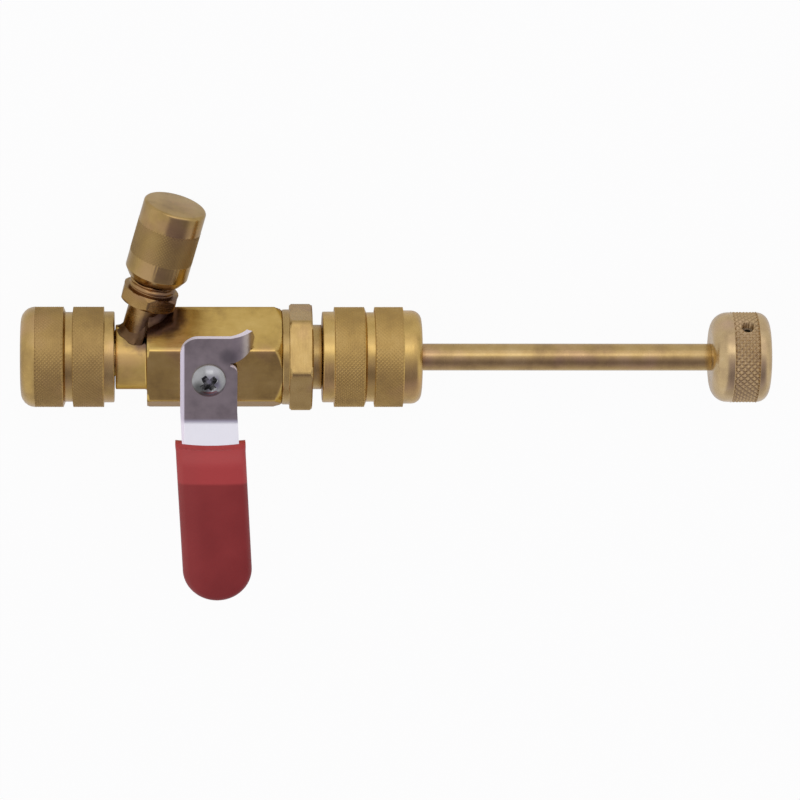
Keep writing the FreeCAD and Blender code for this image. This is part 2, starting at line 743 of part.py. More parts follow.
def inlet_retaining_ring():
    end = size["inlet_nut_length"] - size["inlet_back_wall"] - size["face_gap"]
    start = end - size["inlet_ring_thickness"]
    inner = half(size["spigot_diameter"]) - size["inlet_ring_groove"]
    body = turned("inlet_retaining_ring", rectangle((start, inner), (end, half(size["inlet_ring_diameter"]))))
    gap = size["inlet_ring_groove"]

    def draw(sketch):
        draw_outline(sketch, rectangle((start - OVERRUN, -gap), (end + OVERRUN, gap)))
    cut_through(body, "inlet_retaining_ring_gap", "XY_Plane", draw, None, size["inlet_ring_diameter"])
    return body


def ball():
    """Sphere with a bore across the tool, as it stands when shut, and a slot on top."""
    radius = half(size["ball_diameter"])
    body = turned("ball", [
        (stem_at + radius, 0.0),
        Bend(radius),
        (stem_at, radius),
        Bend(radius),
        (stem_at - radius, 0.0),
    ])
    cross_hole(body, "ball_bore", "XZ_Plane", stem_at, size["ball_bore"])
    slot = half(size["ball_slot_width"])
    floor = ball_top - size["ball_slot_depth"]

    def draw(sketch):
        draw_outline(sketch, rectangle((-slot, floor), (slot, ball_top + OVERRUN)))
    cut_through(body, "ball_slot", "YZ_Plane", draw, stem_at, size["ball_diameter"] * 2.0, symmetric=True)
    return body


def ball_seat(label, direction):
    """Seat ring with a cone that the ball lies in; direction is +1 on the outlet side."""
    touch = (half(size["ball_diameter"]) + size["running_fit"]) * math.sqrt(2.0)
    bore = half(size["seat_bore"])
    outer = half(size["cavity_diameter"]) - size["thread_fit"]
    back = size["seat_reach"]
    front = half(size["stem_flange_diameter"]) + size["loose_gap"]

    def at(distance):
        return stem_at + distance if direction > 0 else stem_at - distance
    return turned(label, [
        (at(back), bore),
        (at(back), outer),
        (at(front), outer),
        (at(front), touch - front),
        (at(touch - bore), bore),
    ])


def valve_stem():
    """Stem with tang, flange, O-ring groove, drive flats and a tapped top."""
    stem = half(size["stem_diameter"])
    tang = half(size["stem_tang_width"])
    flange = half(size["stem_flange_diameter"])
    ring_floor = stem - size["stem_ring_section"]
    ring_start = washer_top + size["stem_ring_height"]
    ring_end = ring_start + size["stem_ring_groove_width"]
    tapped = half(size["screw_diameter"]) + size["thread_fit"]
    tapped_floor = lever_top - size["screw_length"] - half(size["loose_gap"])
    tang_bottom = ball_top - size["ball_slot_depth"] + size["face_gap"]
    body = turned("valve_stem", [
        (tang_bottom, 0.0),
        (tapped_floor, 0.0),
        (tapped_floor, tapped),
        (stem_top, tapped),
        (stem_top, stem),
        (ring_end, stem),
        (ring_end, ring_floor),
        (ring_start, ring_floor),
        (ring_start, stem),
        (flange_top, stem),
        (flange_top, flange),
        (flange_bottom, flange),
        (flange_bottom, tang),
        (tang_bottom, tang),
    ])
    slab = half(size["stem_tang_thickness"])
    flat = half(size["stem_flats"])
    beyond = stem + OVERRUN

    def draw_tang(sketch):
        draw_outline(sketch, rectangle((tang_bottom - OVERRUN, slab), (flange_bottom, beyond)))
        draw_outline(sketch, rectangle((tang_bottom - OVERRUN, -beyond), (flange_bottom, -slab)))

    def draw_flats(sketch):
        draw_outline(sketch, rectangle((lever_bottom, flat), (stem_top + OVERRUN, beyond)))
        draw_outline(sketch, rectangle((lever_bottom, -beyond), (stem_top + OVERRUN, -flat)))
    cut_through(body, "valve_stem_tang", "XY_Plane", draw_tang, None, beyond * 2.0, symmetric=True)
    cut_through(body, "valve_stem_flats", "XY_Plane", draw_flats, None, beyond * 2.0, symmetric=True)
    return body


def stem_thrust_washer():
    inner = half(size["stem_diameter"]) + size["running_fit"]
    outer = half(size["stem_washer_diameter"])
    return turned("stem_thrust_washer", rectangle((washer_bottom, inner), (washer_top, outer)))


def stem_o_ring():
    station = washer_top + size["stem_ring_height"] + half(size["stem_ring_groove_width"])
    middle = size["stem_diameter"] - size["stem_ring_section"] + size["running_fit"]
    return ring_torus("stem_o_ring", station, middle, size["stem_ring_section"])


# The lever is drawn about the stem axis; a side view has its first axis toward the tip

side_turn = Rotation(Vector(0, -1, 0), Vector(0, 0, 1), Vector(-1, 0, 0), "XYZ")
section_turn = Rotation(Vector(1, 0, 0), Vector(0, 0, 1), Vector(0, -1, 0), "XYZ")
lever_slope = slope_angle(size["lever_offset"], size["lever_bend_run"])


def bend_ends(corner, height, radius, rising):
    """Where a bend leaves the flat and where it joins the slope, about a sharp corner."""
    reach = radius * tangent(half(lever_slope))
    along = reach * cosine(lever_slope)
    up = reach * sine(lever_slope)
    if rising:
        return (corner - reach, height), (corner + along, height + up)
    return (corner + reach, height), (corner - along, height - up)


def offset_line(height, foot_radius, crest_radius):
    """One surface of the offset sheet, at a height on the flat part of the head."""
    shift = (height - lever_bottom) * tangent(half(lever_slope))
    foot = size["lever_bend_start"] - shift
    crest = foot + size["lever_bend_run"]
    raised = height + size["lever_offset"]
    foot_ends = bend_ends(foot, height, foot_radius, rising=True)
    crest_ends = bend_ends(crest, raised, crest_radius, rising=False)
    return foot_ends[0], foot_ends[1], crest_ends[1], crest_ends[0]


def blade_outline(margin, head):
    """Plan view of the blade with a round tip, leaning toward the outlet.

    The first axis runs toward the outlet and the second toward the head.
    """
    wide = half(size["lever_width"]) + margin
    tip = -size["lever_tip_reach"] - margin
    lean = size["lever_lean"]
    lean_at = -size["lever_lean_start"]
    return [
        (-wide, head),
        (-wide, lean_at),
        (lean - wide, tip + wide),
        Bend(wide),
        (lean, tip),
        Bend(wide),
        (lean + wide, tip + wide),
        (wide, lean_at),
    ]


def lever_blade():
    """The pressed blade: what its side view and its plan view have in common."""
    inner = size["lever_bend_radius"]
    outer = inner + size["lever_thickness"]
    low = offset_line(lever_bottom, outer, inner)
    high = offset_line(lever_top, inner, outer)
    head = -size["lever_head_reach"] - OVERRUN
    tip = size["lever_tip_reach"] + OVERRUN
    side = free_sketch("lever_side", side_turn)
    draw_outline(side, [
        (head, lever_bottom),
        low[0],
        Bend(outer),
        low[1],
        low[2],
        Bend(inner, "right"),
        low[3],
        (tip, lever_bottom + size["lever_offset"]),
        (tip, lever_top + size["lever_offset"]),
        high[3],
        Bend(outer),
        high[2],
        high[1],
        Bend(inner, "right"),
        high[0],
        (head, lever_top),
    ])
    corner = size["lever_corner"]
    wide = half(size["lever_width"])
    head_end = size["lever_head_reach"]
    notch = size["flap_low"] - size["flap_notch"]
    plan = free_sketch("lever_plan", Rotation())
    outline = blade_outline(as_size(0.0), head_end - corner)
    outline += [
        (wide, notch),
        (size["flap_start"], notch),
        (size["flap_start"], head_end),
        (corner - wide, head_end),
        Bend(corner),
    ]
    draw_outline(plan, outline)
    side_solid = extrude("lever_side_solid", side, Vector(1, 0, 0), size["lever_width"] * 2.0, True)
    plan_height = lever_top + size["lever_offset"] + OVERRUN
    plan_solid = extrude("lever_plan_solid", plan, Vector(0, 0, 1), plan_height)
    return combine("Part::Common", "lever_blade", side_solid, plan_solid)


def stop_flap():
    """The flap at the head's corner, bent down toward the hexagon, with a round lobe."""
    start = size["flap_start"]
    inner = size["flap_radius"]
    outer = inner + size["lever_thickness"]
    centre = lever_bottom - inner
    turn = size["flap_angle"]
    section = free_sketch("flap_section", section_turn)
    draw_outline(section, [
        (start, lever_bottom),
        Bend(inner, "right"),
        (start + inner * sine(turn), centre + inner * cosine(turn)),
        (start + outer * sine(turn), centre + outer * cosine(turn)),
        Bend(outer),
        (start, lever_top),
    ])
    head = size["lever_head_reach"]
    lobe = free_sketch("flap_lobe", Rotation())
    draw_outline(lobe, [
        (start, size["flap_low"]),
        Bend(size["flap_rounding"]),
        (start + size["flap_reach"], head - size["flap_corner"]),
        (start + size["flap_reach"] - half(size["flap_corner"]), head + size["flap_rise"]),
        (start, head),
    ])
    reach = head + size["flap_rise"]
    section_solid = extrude("flap_section_solid", section, Vector(0, 1, 0), reach)
    lobe_solid = extrude("flap_lobe_solid", lobe, Vector(0, 0, 1), lever_top + OVERRUN)
    return combine("Part::Common", "lever_flap", section_solid, lobe_solid)


def handle_lever(blade):
    """Blade and stop flap, with a double-D hole for the stem."""
    flat = half(size["stem_flats"]) + size["running_fit"]
    radius = half(size["stem_diameter"]) + size["running_fit"]
    chord = root(radius * radius - flat * flat)
    hole = free_sketch("lever_hole", Rotation())
    draw_outline(hole, [
        (-chord, -flat),
        (chord, -flat),
        Bend(radius),
        (chord, flat),
        (-chord, flat),
        Bend(radius),
    ])
    hole_solid = extrude("lever_hole_solid", hole, Vector(0, 0, 1), lever_top + OVERRUN)
    pressed = combine("Part::Fuse", "lever_pressed", blade, stop_flap())
    return combine("Part::Cut", "handle_lever", pressed, hole_solid)


def handle_grip(blade):
    """Vinyl sleeve dipped over the blade, from half way up the offset to the tip."""
    wall = size["grip_wall"]
    inner = size["lever_bend_radius"]
    outer = inner + size["lever_thickness"]
    bottom = lever_bottom - wall
    top = lever_top + wall
    start = size["grip_start"]
    low = offset_line(bottom, outer + wall, inner - wall)
    high = offset_line(top, inner - wall, outer + wall)
    tip = size["lever_tip_reach"] + wall + OVERRUN

    def on_slope(height):
        foot = size["lever_bend_start"] - (height - lever_bottom) * tangent(half(lever_slope))
        return height + (start - foot) * tangent(lever_slope)
    side = free_sketch("grip_side", side_turn)
    draw_outline(side, [
        (start, on_slope(bottom)),
        low[2],
        Bend(inner - wall, "right"),
        low[3],
        (tip, bottom + size["lever_offset"]),
        (tip, top + size["lever_offset"]),
        high[3],
        Bend(outer + wall),
        high[2],
        (start, on_slope(top)),
    ])
    plan = free_sketch("grip_plan", Rotation())
    wide = half(size["lever_width"]) + wall
    draw_outline(plan, blade_outline(wall, as_size(0.0)) + [(wide, 0.0)])
    side_solid = extrude("grip_side_solid", side, Vector(1, 0, 0), size["lever_width"] * 2.0, True)
    plan_solid = extrude("grip_plan_solid", plan, Vector(0, 0, 1), top + size["lever_offset"] + OVERRUN)
    sleeve = combine("Part::Common", "grip_sleeve", side_solid, plan_solid)
    return combine("Part::Cut", "handle_grip", sleeve, blade)


def handle_screw():
    """Pan head screw with a domed top and a cross recess; it clamps the lever."""
    shank = half(size["screw_diameter"])
    head = half(size["screw_head_diameter"])
    edge = lever_top + size["screw_head_edge"]
    top = lever_top + size["screw_head_height"]
    dome = size["screw_head_height"] - size["screw_head_edge"]
    dome_radius = (dome * dome + head * head) / (2.0 * dome)
    body = turned("handle_screw", [
        (lever_top - size["screw_length"], 0.0),
        (top, 0.0),
        Bend(dome_radius),
        (edge, head),
        (lever_top, head),
        (lever_top, shank),
        (lever_top - size["screw_length"], shank),
    ])
    wing = half(size["screw_recess_width"])
    span = half(size["screw_recess_span"])
    for name, low, high in (
        ("first", (-wing, -span), (wing, span)),
        ("second", (-span, -wing), (span, wing)),
    ):
        def draw(sketch, low=low, high=high):
            draw_outline(sketch, rectangle(low, high))
        cut_through(body, "handle_screw_%s_wing" % name, "YZ_Plane", draw, top, size["screw_recess_depth"])
    return body


def side_port_fitting():
    """Fitting with a lower neck, hexagon, male thread and the valve core's chamber."""
    neck = half(size["port_neck_diameter"])
    blank = size["port_hex"] / math.sqrt(3.0)
    bevel = size["port_hex_bevel"]
    thread = half(size["port_thread_diameter"])
    chamber = half(size["core_chamber_diameter"])
    bore = half(size["port_bore"])
    chamber_floor = port_end - size["core_chamber_depth"]
    body = turned("side_port_fitting", [
        (size["port_socket_floor"], bore),
        (chamber_floor, bore),
        (chamber_floor, chamber),
        (port_end, chamber),
        (port_end, thread - size["port_thread_bevel"]),
        (port_end - size["port_thread_bevel"], thread),
        (port_thread_start, thread),
        (port_thread_start, blank - bevel),
        (port_thread_start - bevel, blank),
        (size["port_hex_start"] + bevel, blank),
        (size["port_hex_start"], blank - bevel),
        (size["port_hex_start"], neck),
        (size["port_socket_floor"], neck),
    ])
    start = size["port_hex_start"]
    length = size["port_hex_length"]
    mill_hexagon(body, "side_port_fitting_flats", size["port_hex"], size["port_clocking"], start, length)
    return body


def port_core_body():
    outer = half(size["core_chamber_diameter"]) - size["thread_fit"]
    neck = half(size["core_body_neck"])
    spring = half(size["core_spring_bore"])
    guide = half(size["core_pin_diameter"]) + size["running_fit"]
    neck_start = core_top - size["core_body_neck_length"]
    return turned("port_core_body", [
        (core_bottom, guide),
        (core_shoulder, guide),
        (core_shoulder, spring),
        (core_top, spring),
        (core_top, neck),
        (neck_start, neck),
        (neck_start, outer),
        (core_bottom, outer),
    ])


def port_core_seal():
    inner = half(size["core_pin_diameter"]) + size["loose_gap"]
    outer = half(size["core_chamber_diameter"]) - size["thread_fit"]
    return turned("port_core_seal", rectangle((seal_bottom, inner), (core_bottom, outer)))


def port_core_pin():
    """Pin with a valve head under the seal and a collar that the spring pushes."""
    pin = half(size["core_pin_diameter"])
    head = half(size["core_pin_head"])
    collar = half(size["core_pin_collar"])
    tip = port_end - size["core_pin_recess"]
    collar_top = pin_collar_bottom + size["core_pin_collar_height"]
    head_bottom = pin_head_top - size["core_pin_head_height"]
    return turned("port_core_pin", [
        (head_bottom, 0.0),
        (tip, 0.0),
        (tip, pin),
        (collar_top, pin),
        (collar_top, collar),
        (pin_collar_bottom, collar),
        (pin_collar_bottom, pin),
        (pin_head_top, pin),
        (pin_head_top, head),
        (head_bottom, head),
    ])


def port_core_spring():
    """Round wire wound about the pin, between the core body's shoulder and the collar."""
    body = doc.addObject("PartDesign::Body", "port_core_spring")
    body.Label = "port_core_spring"
    wire = size["core_spring_wire"]
    sketch = new_sketch(body, "port_core_spring_wire", "XY_Plane")
    draw_circle(sketch, (core_shoulder + half(wire), half(size["core_spring_diameter"])), wire)
    feature = body.newObject("PartDesign::AdditiveHelix", "port_core_spring_coil")
    feature.Profile = sketch
    feature.ReferenceAxis = (sketch, ["H_Axis"])
    feature.Mode = "height-turns-angle"
    height = size["core_spring_height"] - wire
    feature.Height = height.value
    feature.setExpression("Height", height.text)
    feature.Turns = size["core_spring_turns"].value
    feature.setExpression("Turns", size["core_spring_turns"].text)
    finish_feature(body, feature, cuts=False)
    return body


def side_port_cap():
    """Cap with a tapered mouth and a blind threaded bore."""
    outer = half(size["cap_diameter"])
    mouth = half(size["cap_mouth_diameter"])
    bore = half(size["port_thread_diameter"]) + 2.0 * size["thread_fit"]
    return turned("side_port_cap", [
        (cap_start, bore),
        (cap_roof, bore),
        (cap_roof, 0.0),
        (cap_end, 0.0),
        (cap_end, outer - size["cap_top_bevel"]),
        (cap_end - size["cap_top_bevel"], outer),
        (cap_start + size["cap_taper_length"], outer),
        (cap_start, mouth),
    ])


def cap_gasket():
    bore = half(size["port_thread_diameter"]) + 2.0 * size["thread_fit"]
    low = (cap_gasket_start, half(size["cap_gasket_bore"]))
    high = (cap_gasket_start + size["cap_gasket_thickness"], bore - size["loose_gap"])
    return turned("cap_gasket", rectangle(low, high))


def outlet_adapter():
    """Adapter screwed into the body: it holds the outlet seat and takes the outlet nut."""
    start = adapter_inner_end
    bore = half(size["adapter_bore"])
    plug = half(size["cavity_diameter"]) - size["thread_fit"]
    groove_start = start + size["adapter_ring_station"]
    groove_end = groove_start + size["adapter_ring_groove_width"]
    groove_floor = half(size["cavity_diameter"]) - size["adapter_ring_section"]
    collar = half(size["adapter_collar_diameter"])
    blank = size["adapter_hex"] / math.sqrt(3.0)
    bevel = size["adapter_hex_bevel"]
    neck = half(size["neck_diameter"])
    thread = half(size["outlet_thread_diameter"])
    body = turned("outlet_adapter", [
        (start, bore),
        (adapter_end, bore),
        (adapter_end, thread),
        (adapter_neck_end, thread),
        (adapter_neck_end, neck),
        (adapter_hex_end, neck),
        (adapter_hex_end, blank - bevel),
        (adapter_hex_end - bevel, blank),
        (adapter_hex_start, blank),
        (adapter_hex_start, collar),
        (body_end, collar),
        (body_end, plug),
        (groove_end, plug),
        (groove_end, groove_floor),
        (groove_start, groove_floor),
        (groove_start, plug),
        (start, plug),
    ])
    clocking = 30.0 - size["adapter_clocking"]
    mill_hexagon(body, "outlet_adapter_flats", size["adapter_hex"], clocking,
                 adapter_hex_start, size["adapter_hex_length"])
    return body


def adapter_o_ring():
    station = adapter_inner_end + size["adapter_ring_station"] + half(size["adapter_ring_groove_width"])
    middle = size["cavity_diameter"] - size["adapter_ring_section"]
    return ring_torus("adapter_o_ring", station, middle, size["adapter_ring_section"])


def outlet_nut():
    """Nut that draws the rod's gland against the adapter."""
    start = outlet_nut_start
    end = outlet_nut_end
    band = half(size["nut_knurl_diameter"])
    shoulder = half(size["nut_shoulder_diameter"])
    bevel = size["nut_edge_bevel"]
    thread = half(size["outlet_thread_diameter"]) + size["thread_fit"]
    relief = half(size["outlet_relief_diameter"])
    rod_hole = half(size["outlet_rod_hole"])
    smooth = half(size["outlet_end_diameter"])
    rounding = size["outlet_end_rounding"]
    shoulder_length = size["outlet_shoulder_length"]
    groove_start = shoulder_length + size["outlet_band_length"]
    groove_width = size["outlet_groove_width"]
    second_end = start + groove_start + groove_width + size["outlet_second_band"]
    wall = end - size["outlet_end_wall"]
    outline = [
        (start, thread),
        (start, shoulder - bevel),
        (start + bevel, shoulder),
        (start + shoulder_length, shoulder),
    ]
    outline += knurled_nut_outline(start, shoulder_length, groove_start, groove_width)
    outline += [
        (second_end, band),
        (second_end, smooth),
        (end - rounding, smooth),
        Bend(rounding, "right"),
        (end, smooth - rounding),
        (end, rod_hole),
        (wall, rod_hole),
        (wall, relief),
        (start + size["outlet_thread_reach"], relief),
        (start + size["outlet_thread_reach"], thread),
    ]
    return turned("outlet_nut", outline)


def rod_gland():
    """Brass gland that the rod slides through, with two grooves for O-rings."""
    outer = half(size["outlet_thread_diameter"]) + size["thread_fit"] - size["loose_gap"]
    bore = half(size["rod_diameter"]) + size["running_fit"]
    floor = half(size["gland_ring_groove_diameter"])
    outline = [
        (gland_end, bore),
        (gland_end, outer),
        (gland_start, outer),
        (gland_start, bore),
    ]
    for place in range(2):
        groove_start = gland_start + size["gland_ring_first"] + size["gland_ring_spacing"] * place
        groove_end = groove_start + size["gland_ring_groove_width"]
        outline += [
            (groove_start, bore),
            (groove_start, floor),
            (groove_end, floor),
            (groove_end, bore),
        ]
    return turned("rod_gland", outline)


def gland_gasket():
    low = (gland_gasket_start, half(size["gland_gasket_bore"]))
    outer = half(size["outlet_thread_diameter"]) + size["thread_fit"] - size["loose_gap"]
    return turned("gland_gasket", rectangle(low, (gland_start, outer)))


def rod_o_ring(label, place):
    """O-ring in the gland's first or second groove, just clear of the rod."""
    groove_start = gland_start + size["gland_ring_first"] + size["gland_ring_spacing"] * place
    station = groove_start + half(size["gland_ring_groove_width"])
    middle = size["rod_diameter"] + size["gland_ring_section"] + size["running_fit"]
    return ring_torus(label, station, middle, size["gland_ring_section"])


def rod():
    """Rod with a threaded tail, a groove for the stop ring and a cross hole in the knob."""
    radius = half(size["rod_diameter"])
    tail = half(size["rod_tail_diameter"])
    groove_floor = radius - size["rod_ring_groove"]
    slack = half(size["face_gap"])
    tail_end = rod_inner_end - size["rod_tail_length"]
    body = turned("rod", [
        (tail_end, 0.0),
        (rod_outer_end, 0.0),
        (rod_outer_end, radius),
        (stop_ring_end + slack, radius),
        (stop_ring_end + slack, groove_floor),
        (stop_ring_start - slack, groove_floor),
        (stop_ring_start - slack, radius),
        (rod_inner_end, radius),
        (rod_inner_end, tail),
        (tail_end, tail),
    ])
    hole = size["pin_diameter"] + 2.0 * size["pin_hole_fit"]
    cross_hole(body, "rod_pin_hole", "XY_Plane", pin_at, hole)
    return body


def rod_stop_ring():
    """Ring that keeps the rod from being drawn out of the gland."""
    inner = half(size["rod_diameter"]) - size["rod_ring_groove"] + size["running_fit"]
    low = (stop_ring_start, inner)
    body = turned("rod_stop_ring", rectangle(low, (stop_ring_end, half(size["rod_ring_diameter"]))))
    gap = half(size["rod_ring_groove"])

    def draw(sketch):
        draw_outline(sketch, rectangle((stop_ring_start - OVERRUN, -gap), (stop_ring_end + OVERRUN, gap)))
    cut_through(body, "rod_stop_ring_gap", "XY_Plane", draw, None, size["rod_ring_diameter"])
    return body


def core_gripper():
    """Socket for the valve core, with cross slots, screwed on the rod's tail."""
    socket = half(size["gripper_socket_diameter"])
    outer = half(size["gripper_diameter"])
    root_radius = half(size["gripper_root_diameter"])
    tail = half(size["rod_tail_diameter"])
    magnet = half(size["magnet_diameter"])
    magnet_front = gripper_tip + size["gripper_socket_depth"]
    magnet_back = magnet_front + size["magnet_length"]
    tail_end = rod_inner_end - size["rod_tail_length"]
    root_start = rod_inner_end - size["gripper_root_length"]
    body = turned("core_gripper", [
        (gripper_tip, socket),
        (magnet_front, socket),
        (magnet_front, magnet),
        (magnet_back, magnet),
        (magnet_back, 0.0),
        (tail_end, 0.0),
        (tail_end, tail),
        (rod_inner_end, tail),
        (rod_inner_end, root_radius),
        (root_start, root_radius),
        (root_start, outer),
        (gripper_tip, outer),
    ])
    slot = half(size["gripper_slot_width"])
    slot_end = gripper_tip + size["gripper_slot_depth"]

    def draw(sketch):
        draw_outline(sketch, rectangle((gripper_tip - OVERRUN, -slot), (slot_end, slot)))
    for name, role in (("upright", "XY_Plane"), ("level", "XZ_Plane")):
        cut_through(body, "core_gripper_%s_slot" % name, role, draw, None,
                    size["gripper_diameter"] * 2.0, symmetric=True)
    return body


def gripper_magnet():
    start = gripper_tip + size["gripper_socket_depth"]
    end = start + size["magnet_length"]
    return turned("gripper_magnet", rectangle((start, 0.0), (end, half(size["magnet_diameter"]))))


def rod_knob():
    """Knob with two rounded shoulders, a blind socket for the rod and a cross hole."""
    outer = half(size["knob_diameter"])
    rounding = size["knob_rounding"]
    socket = half(size["rod_diameter"]) + size["knob_socket_fit"]
    body = turned("rod_knob", [
        (knob_start, socket),
        (knob_start, outer - rounding),
        Bend(rounding, "right"),
        (knob_start + rounding, outer),
        (knob_end - rounding, outer),
        Bend(rounding, "right"),
        (knob_end, outer - rounding),
        (knob_end, 0.0),
        (rod_outer_end, 0.0),
        (rod_outer_end, socket),
    ])
    hole = size["pin_diameter"] + 2.0 * size["pin_hole_fit"]
    cross_hole(body, "rod_knob_pin_hole", "XY_Plane", pin_at, hole)
    return body


def knob_pin():
    """Slotted spring pin, drawn about its own middle."""
    end = half(size["pin_length"])
    outer = half(size["pin_diameter"])
    body = turned("knob_pin", rectangle((-end, outer - size["pin_wall"]), (end, outer)))
    gap = half(size["pin_slot_width"])

    def draw(sketch):
        draw_outline(sketch, rectangle((-end - OVERRUN, -gap), (end + OVERRUN, gap)))
    cut_through(body, "knob_pin_slot", "XY_Plane", draw, None, size["pin_diameter"])
    return body


# How the tool lies: it rolls toward the port until the cap touches what the adapter lies on

def lying_roll():
    """Degrees that the tool leans over when it lies on the adapter's lowest corner and the cap."""
    corner = size["adapter_hex"].value / math.sqrt(3.0)
    clocking = math.radians(size["adapter_clocking"].value)
    corner_depth = corner * math.cos(clocking)
    corner_aside = corner * math.sin(clocking)
    cap_radius = half(size["cap_diameter"]).value
    rim = (cap_end - size["cap_top_bevel"]).value
    rim_aside = rim * math.cos(math.radians(size["port_lean"].value))
    return math.degrees(math.atan2(corner_depth - cap_radius, rim_aside + corner_aside))


lying = Placement(Vector(0, 0, 0), Rotation(Vector(1, 0, 0), -lying_roll()))
upright = Rotation(Vector(0, 1, 0), -90.0)
clocked = Rotation(Vector(1, 0, 0), -size["pin_clocking"].value)
along_port = Rotation(Vector(0, 0, 1), 90.0 - size["port_lean"].value)
nowhere = as_size(0.0)


def lay(pieces, station, turn):
    """Places pieces drawn about a station on the tool axis, and lays the tool down."""
    for piece in pieces:
        piece.Placement = lying.multiply(Placement(Vector(station.value, 0, 0), turn))
        piece.setExpression("Placement.Base.x", station.text)
    return pieces


blade = lever_blade()
parts = []
parts += lay([
    valve_body(),
    inlet_nut(),
    inlet_gasket(),
    inlet_retaining_ring(),
    ball(),
    ball_seat("ball_seat_inlet", -1),
    ball_seat("ball_seat_outlet", 1),
    outlet_adapter(),
    adapter_o_ring(),
    outlet_nut(),
    rod_gland(),
    gland_gasket(),
    rod_o_ring("rod_o_ring_front", 0),
    rod_o_ring("rod_o_ring_rear", 1),
    rod_stop_ring(),
], nowhere, Rotation())
parts += lay([valve_stem(), stem_thrust_washer(), stem_o_ring(), handle_screw()], stem_at, upright)
parts += lay([handle_lever(blade), handle_grip(blade)], stem_at, Rotation())
parts += lay([
    side_port_fitting(),
    port_core_body(),
    port_core_seal(),
    port_core_pin(),
    port_core_spring(),
    cap_gasket(),
    side_port_cap(),
], port_crossing, along_port)
parts += lay([rod(), core_gripper(), gripper_magnet(), rod_knob()], nowhere, clocked)
parts += lay([knob_pin()], pin_at, clocked.multiply(upright))

doc.recompute()

for item in doc.Objects:
    for fault in ("Invalid", "Error"):
        if fault in item.State:
            raise RuntimeError("%s is %s" % (item.Name, fault))
for piece in parts:
    shape = piece.Shape
    if shape.isNull() or not shape.isValid() or len(shape.Solids) != 1:
        raise RuntimeError("%s has no single valid solid" % piece.Label)

os.makedirs("parts", exist_ok=True)
for piece in parts:
    piece.Shape.exportStep(os.path.join("parts", piece.Label + ".step"))
    print("%-22s %9.2f mm3" % (piece.Label, piece.Shape.Volume))
print("lying roll %.3f degrees" % lying_roll())
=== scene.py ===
"""The valve core remover, dressed: turned and knurled brass, pressed steel lever, red vinyl grip.

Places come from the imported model. Sizes that it doesn't hold are given here in millimetres.
The tool's own axes are X along the tool, W toward the side port and U along the valve stem.
"""
import json
import math
import bmesh
import bpy
from mathutils import Matrix, Vector


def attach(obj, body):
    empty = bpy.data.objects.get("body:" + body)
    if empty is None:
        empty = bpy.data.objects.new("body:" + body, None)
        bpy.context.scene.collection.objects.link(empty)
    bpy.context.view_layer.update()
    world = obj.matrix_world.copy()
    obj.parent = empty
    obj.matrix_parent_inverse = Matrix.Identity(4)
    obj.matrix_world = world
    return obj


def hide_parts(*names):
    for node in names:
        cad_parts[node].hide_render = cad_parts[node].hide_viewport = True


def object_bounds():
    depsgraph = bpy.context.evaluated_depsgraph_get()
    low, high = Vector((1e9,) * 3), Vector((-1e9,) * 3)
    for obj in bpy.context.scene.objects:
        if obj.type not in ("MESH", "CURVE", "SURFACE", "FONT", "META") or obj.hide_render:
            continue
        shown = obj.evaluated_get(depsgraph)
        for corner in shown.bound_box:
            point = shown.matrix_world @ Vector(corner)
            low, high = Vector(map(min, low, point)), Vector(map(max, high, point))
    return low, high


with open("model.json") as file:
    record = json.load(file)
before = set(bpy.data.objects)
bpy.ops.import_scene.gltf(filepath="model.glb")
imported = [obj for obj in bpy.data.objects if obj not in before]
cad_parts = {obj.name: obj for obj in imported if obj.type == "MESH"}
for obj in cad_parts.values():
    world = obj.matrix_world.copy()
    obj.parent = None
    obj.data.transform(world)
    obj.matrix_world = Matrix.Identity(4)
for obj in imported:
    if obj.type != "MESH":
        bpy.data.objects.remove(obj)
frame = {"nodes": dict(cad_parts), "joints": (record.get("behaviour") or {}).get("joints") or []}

CAD_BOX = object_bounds()
MM = 0.001
JOINTS = {joint["name"]: joint for joint in frame["joints"]}
ALONG = Vector((1.0, 0.0, 0.0))
STEM = Vector(JOINTS["handle_turn"]["axis"])
ASIDE = STEM.cross(ALONG)
PORT = Vector(JOINTS["cap_turn"]["axis"])
STEM_FOOT = Vector(JOINTS["handle_turn"]["pos_m"])
PORT_FOOT = Vector(JOINTS["cap_turn"]["pos_m"])


def standing(origin, x_axis, z_axis):
    """A place whose X and Z run along the two given directions."""
    y_axis = z_axis.cross(x_axis)
    place = Matrix((x_axis, y_axis, z_axis)).transposed().to_4x4()
    place.translation = origin
    return place


ON_TOOL = standing(Vector((0.0, 0.0, 0.0)), ALONG, STEM)
ON_PORT = standing(PORT_FOOT, PORT, STEM)
ON_STEM = standing(STEM_FOOT, STEM, -ALONG)
ON_LEVER = standing(STEM_FOOT, ALONG, STEM)


def reach(node, place):
    """First and last station of a CAD node along a place's X, and its largest radius, in mm."""
    back = place.inverted()
    points = [back @ vertex.co for vertex in frame["nodes"][node].data.vertices]
    stations = [point.x / MM for point in points]
    radius = max(math.hypot(point.y, point.z) for point in points) / MM
    return min(stations), max(stations), radius


# Mesh helpers

def put(name, data):
    """A new object in the scene."""
    item = bpy.data.objects.new(name, data)
    bpy.context.scene.collection.objects.link(item)
    return item


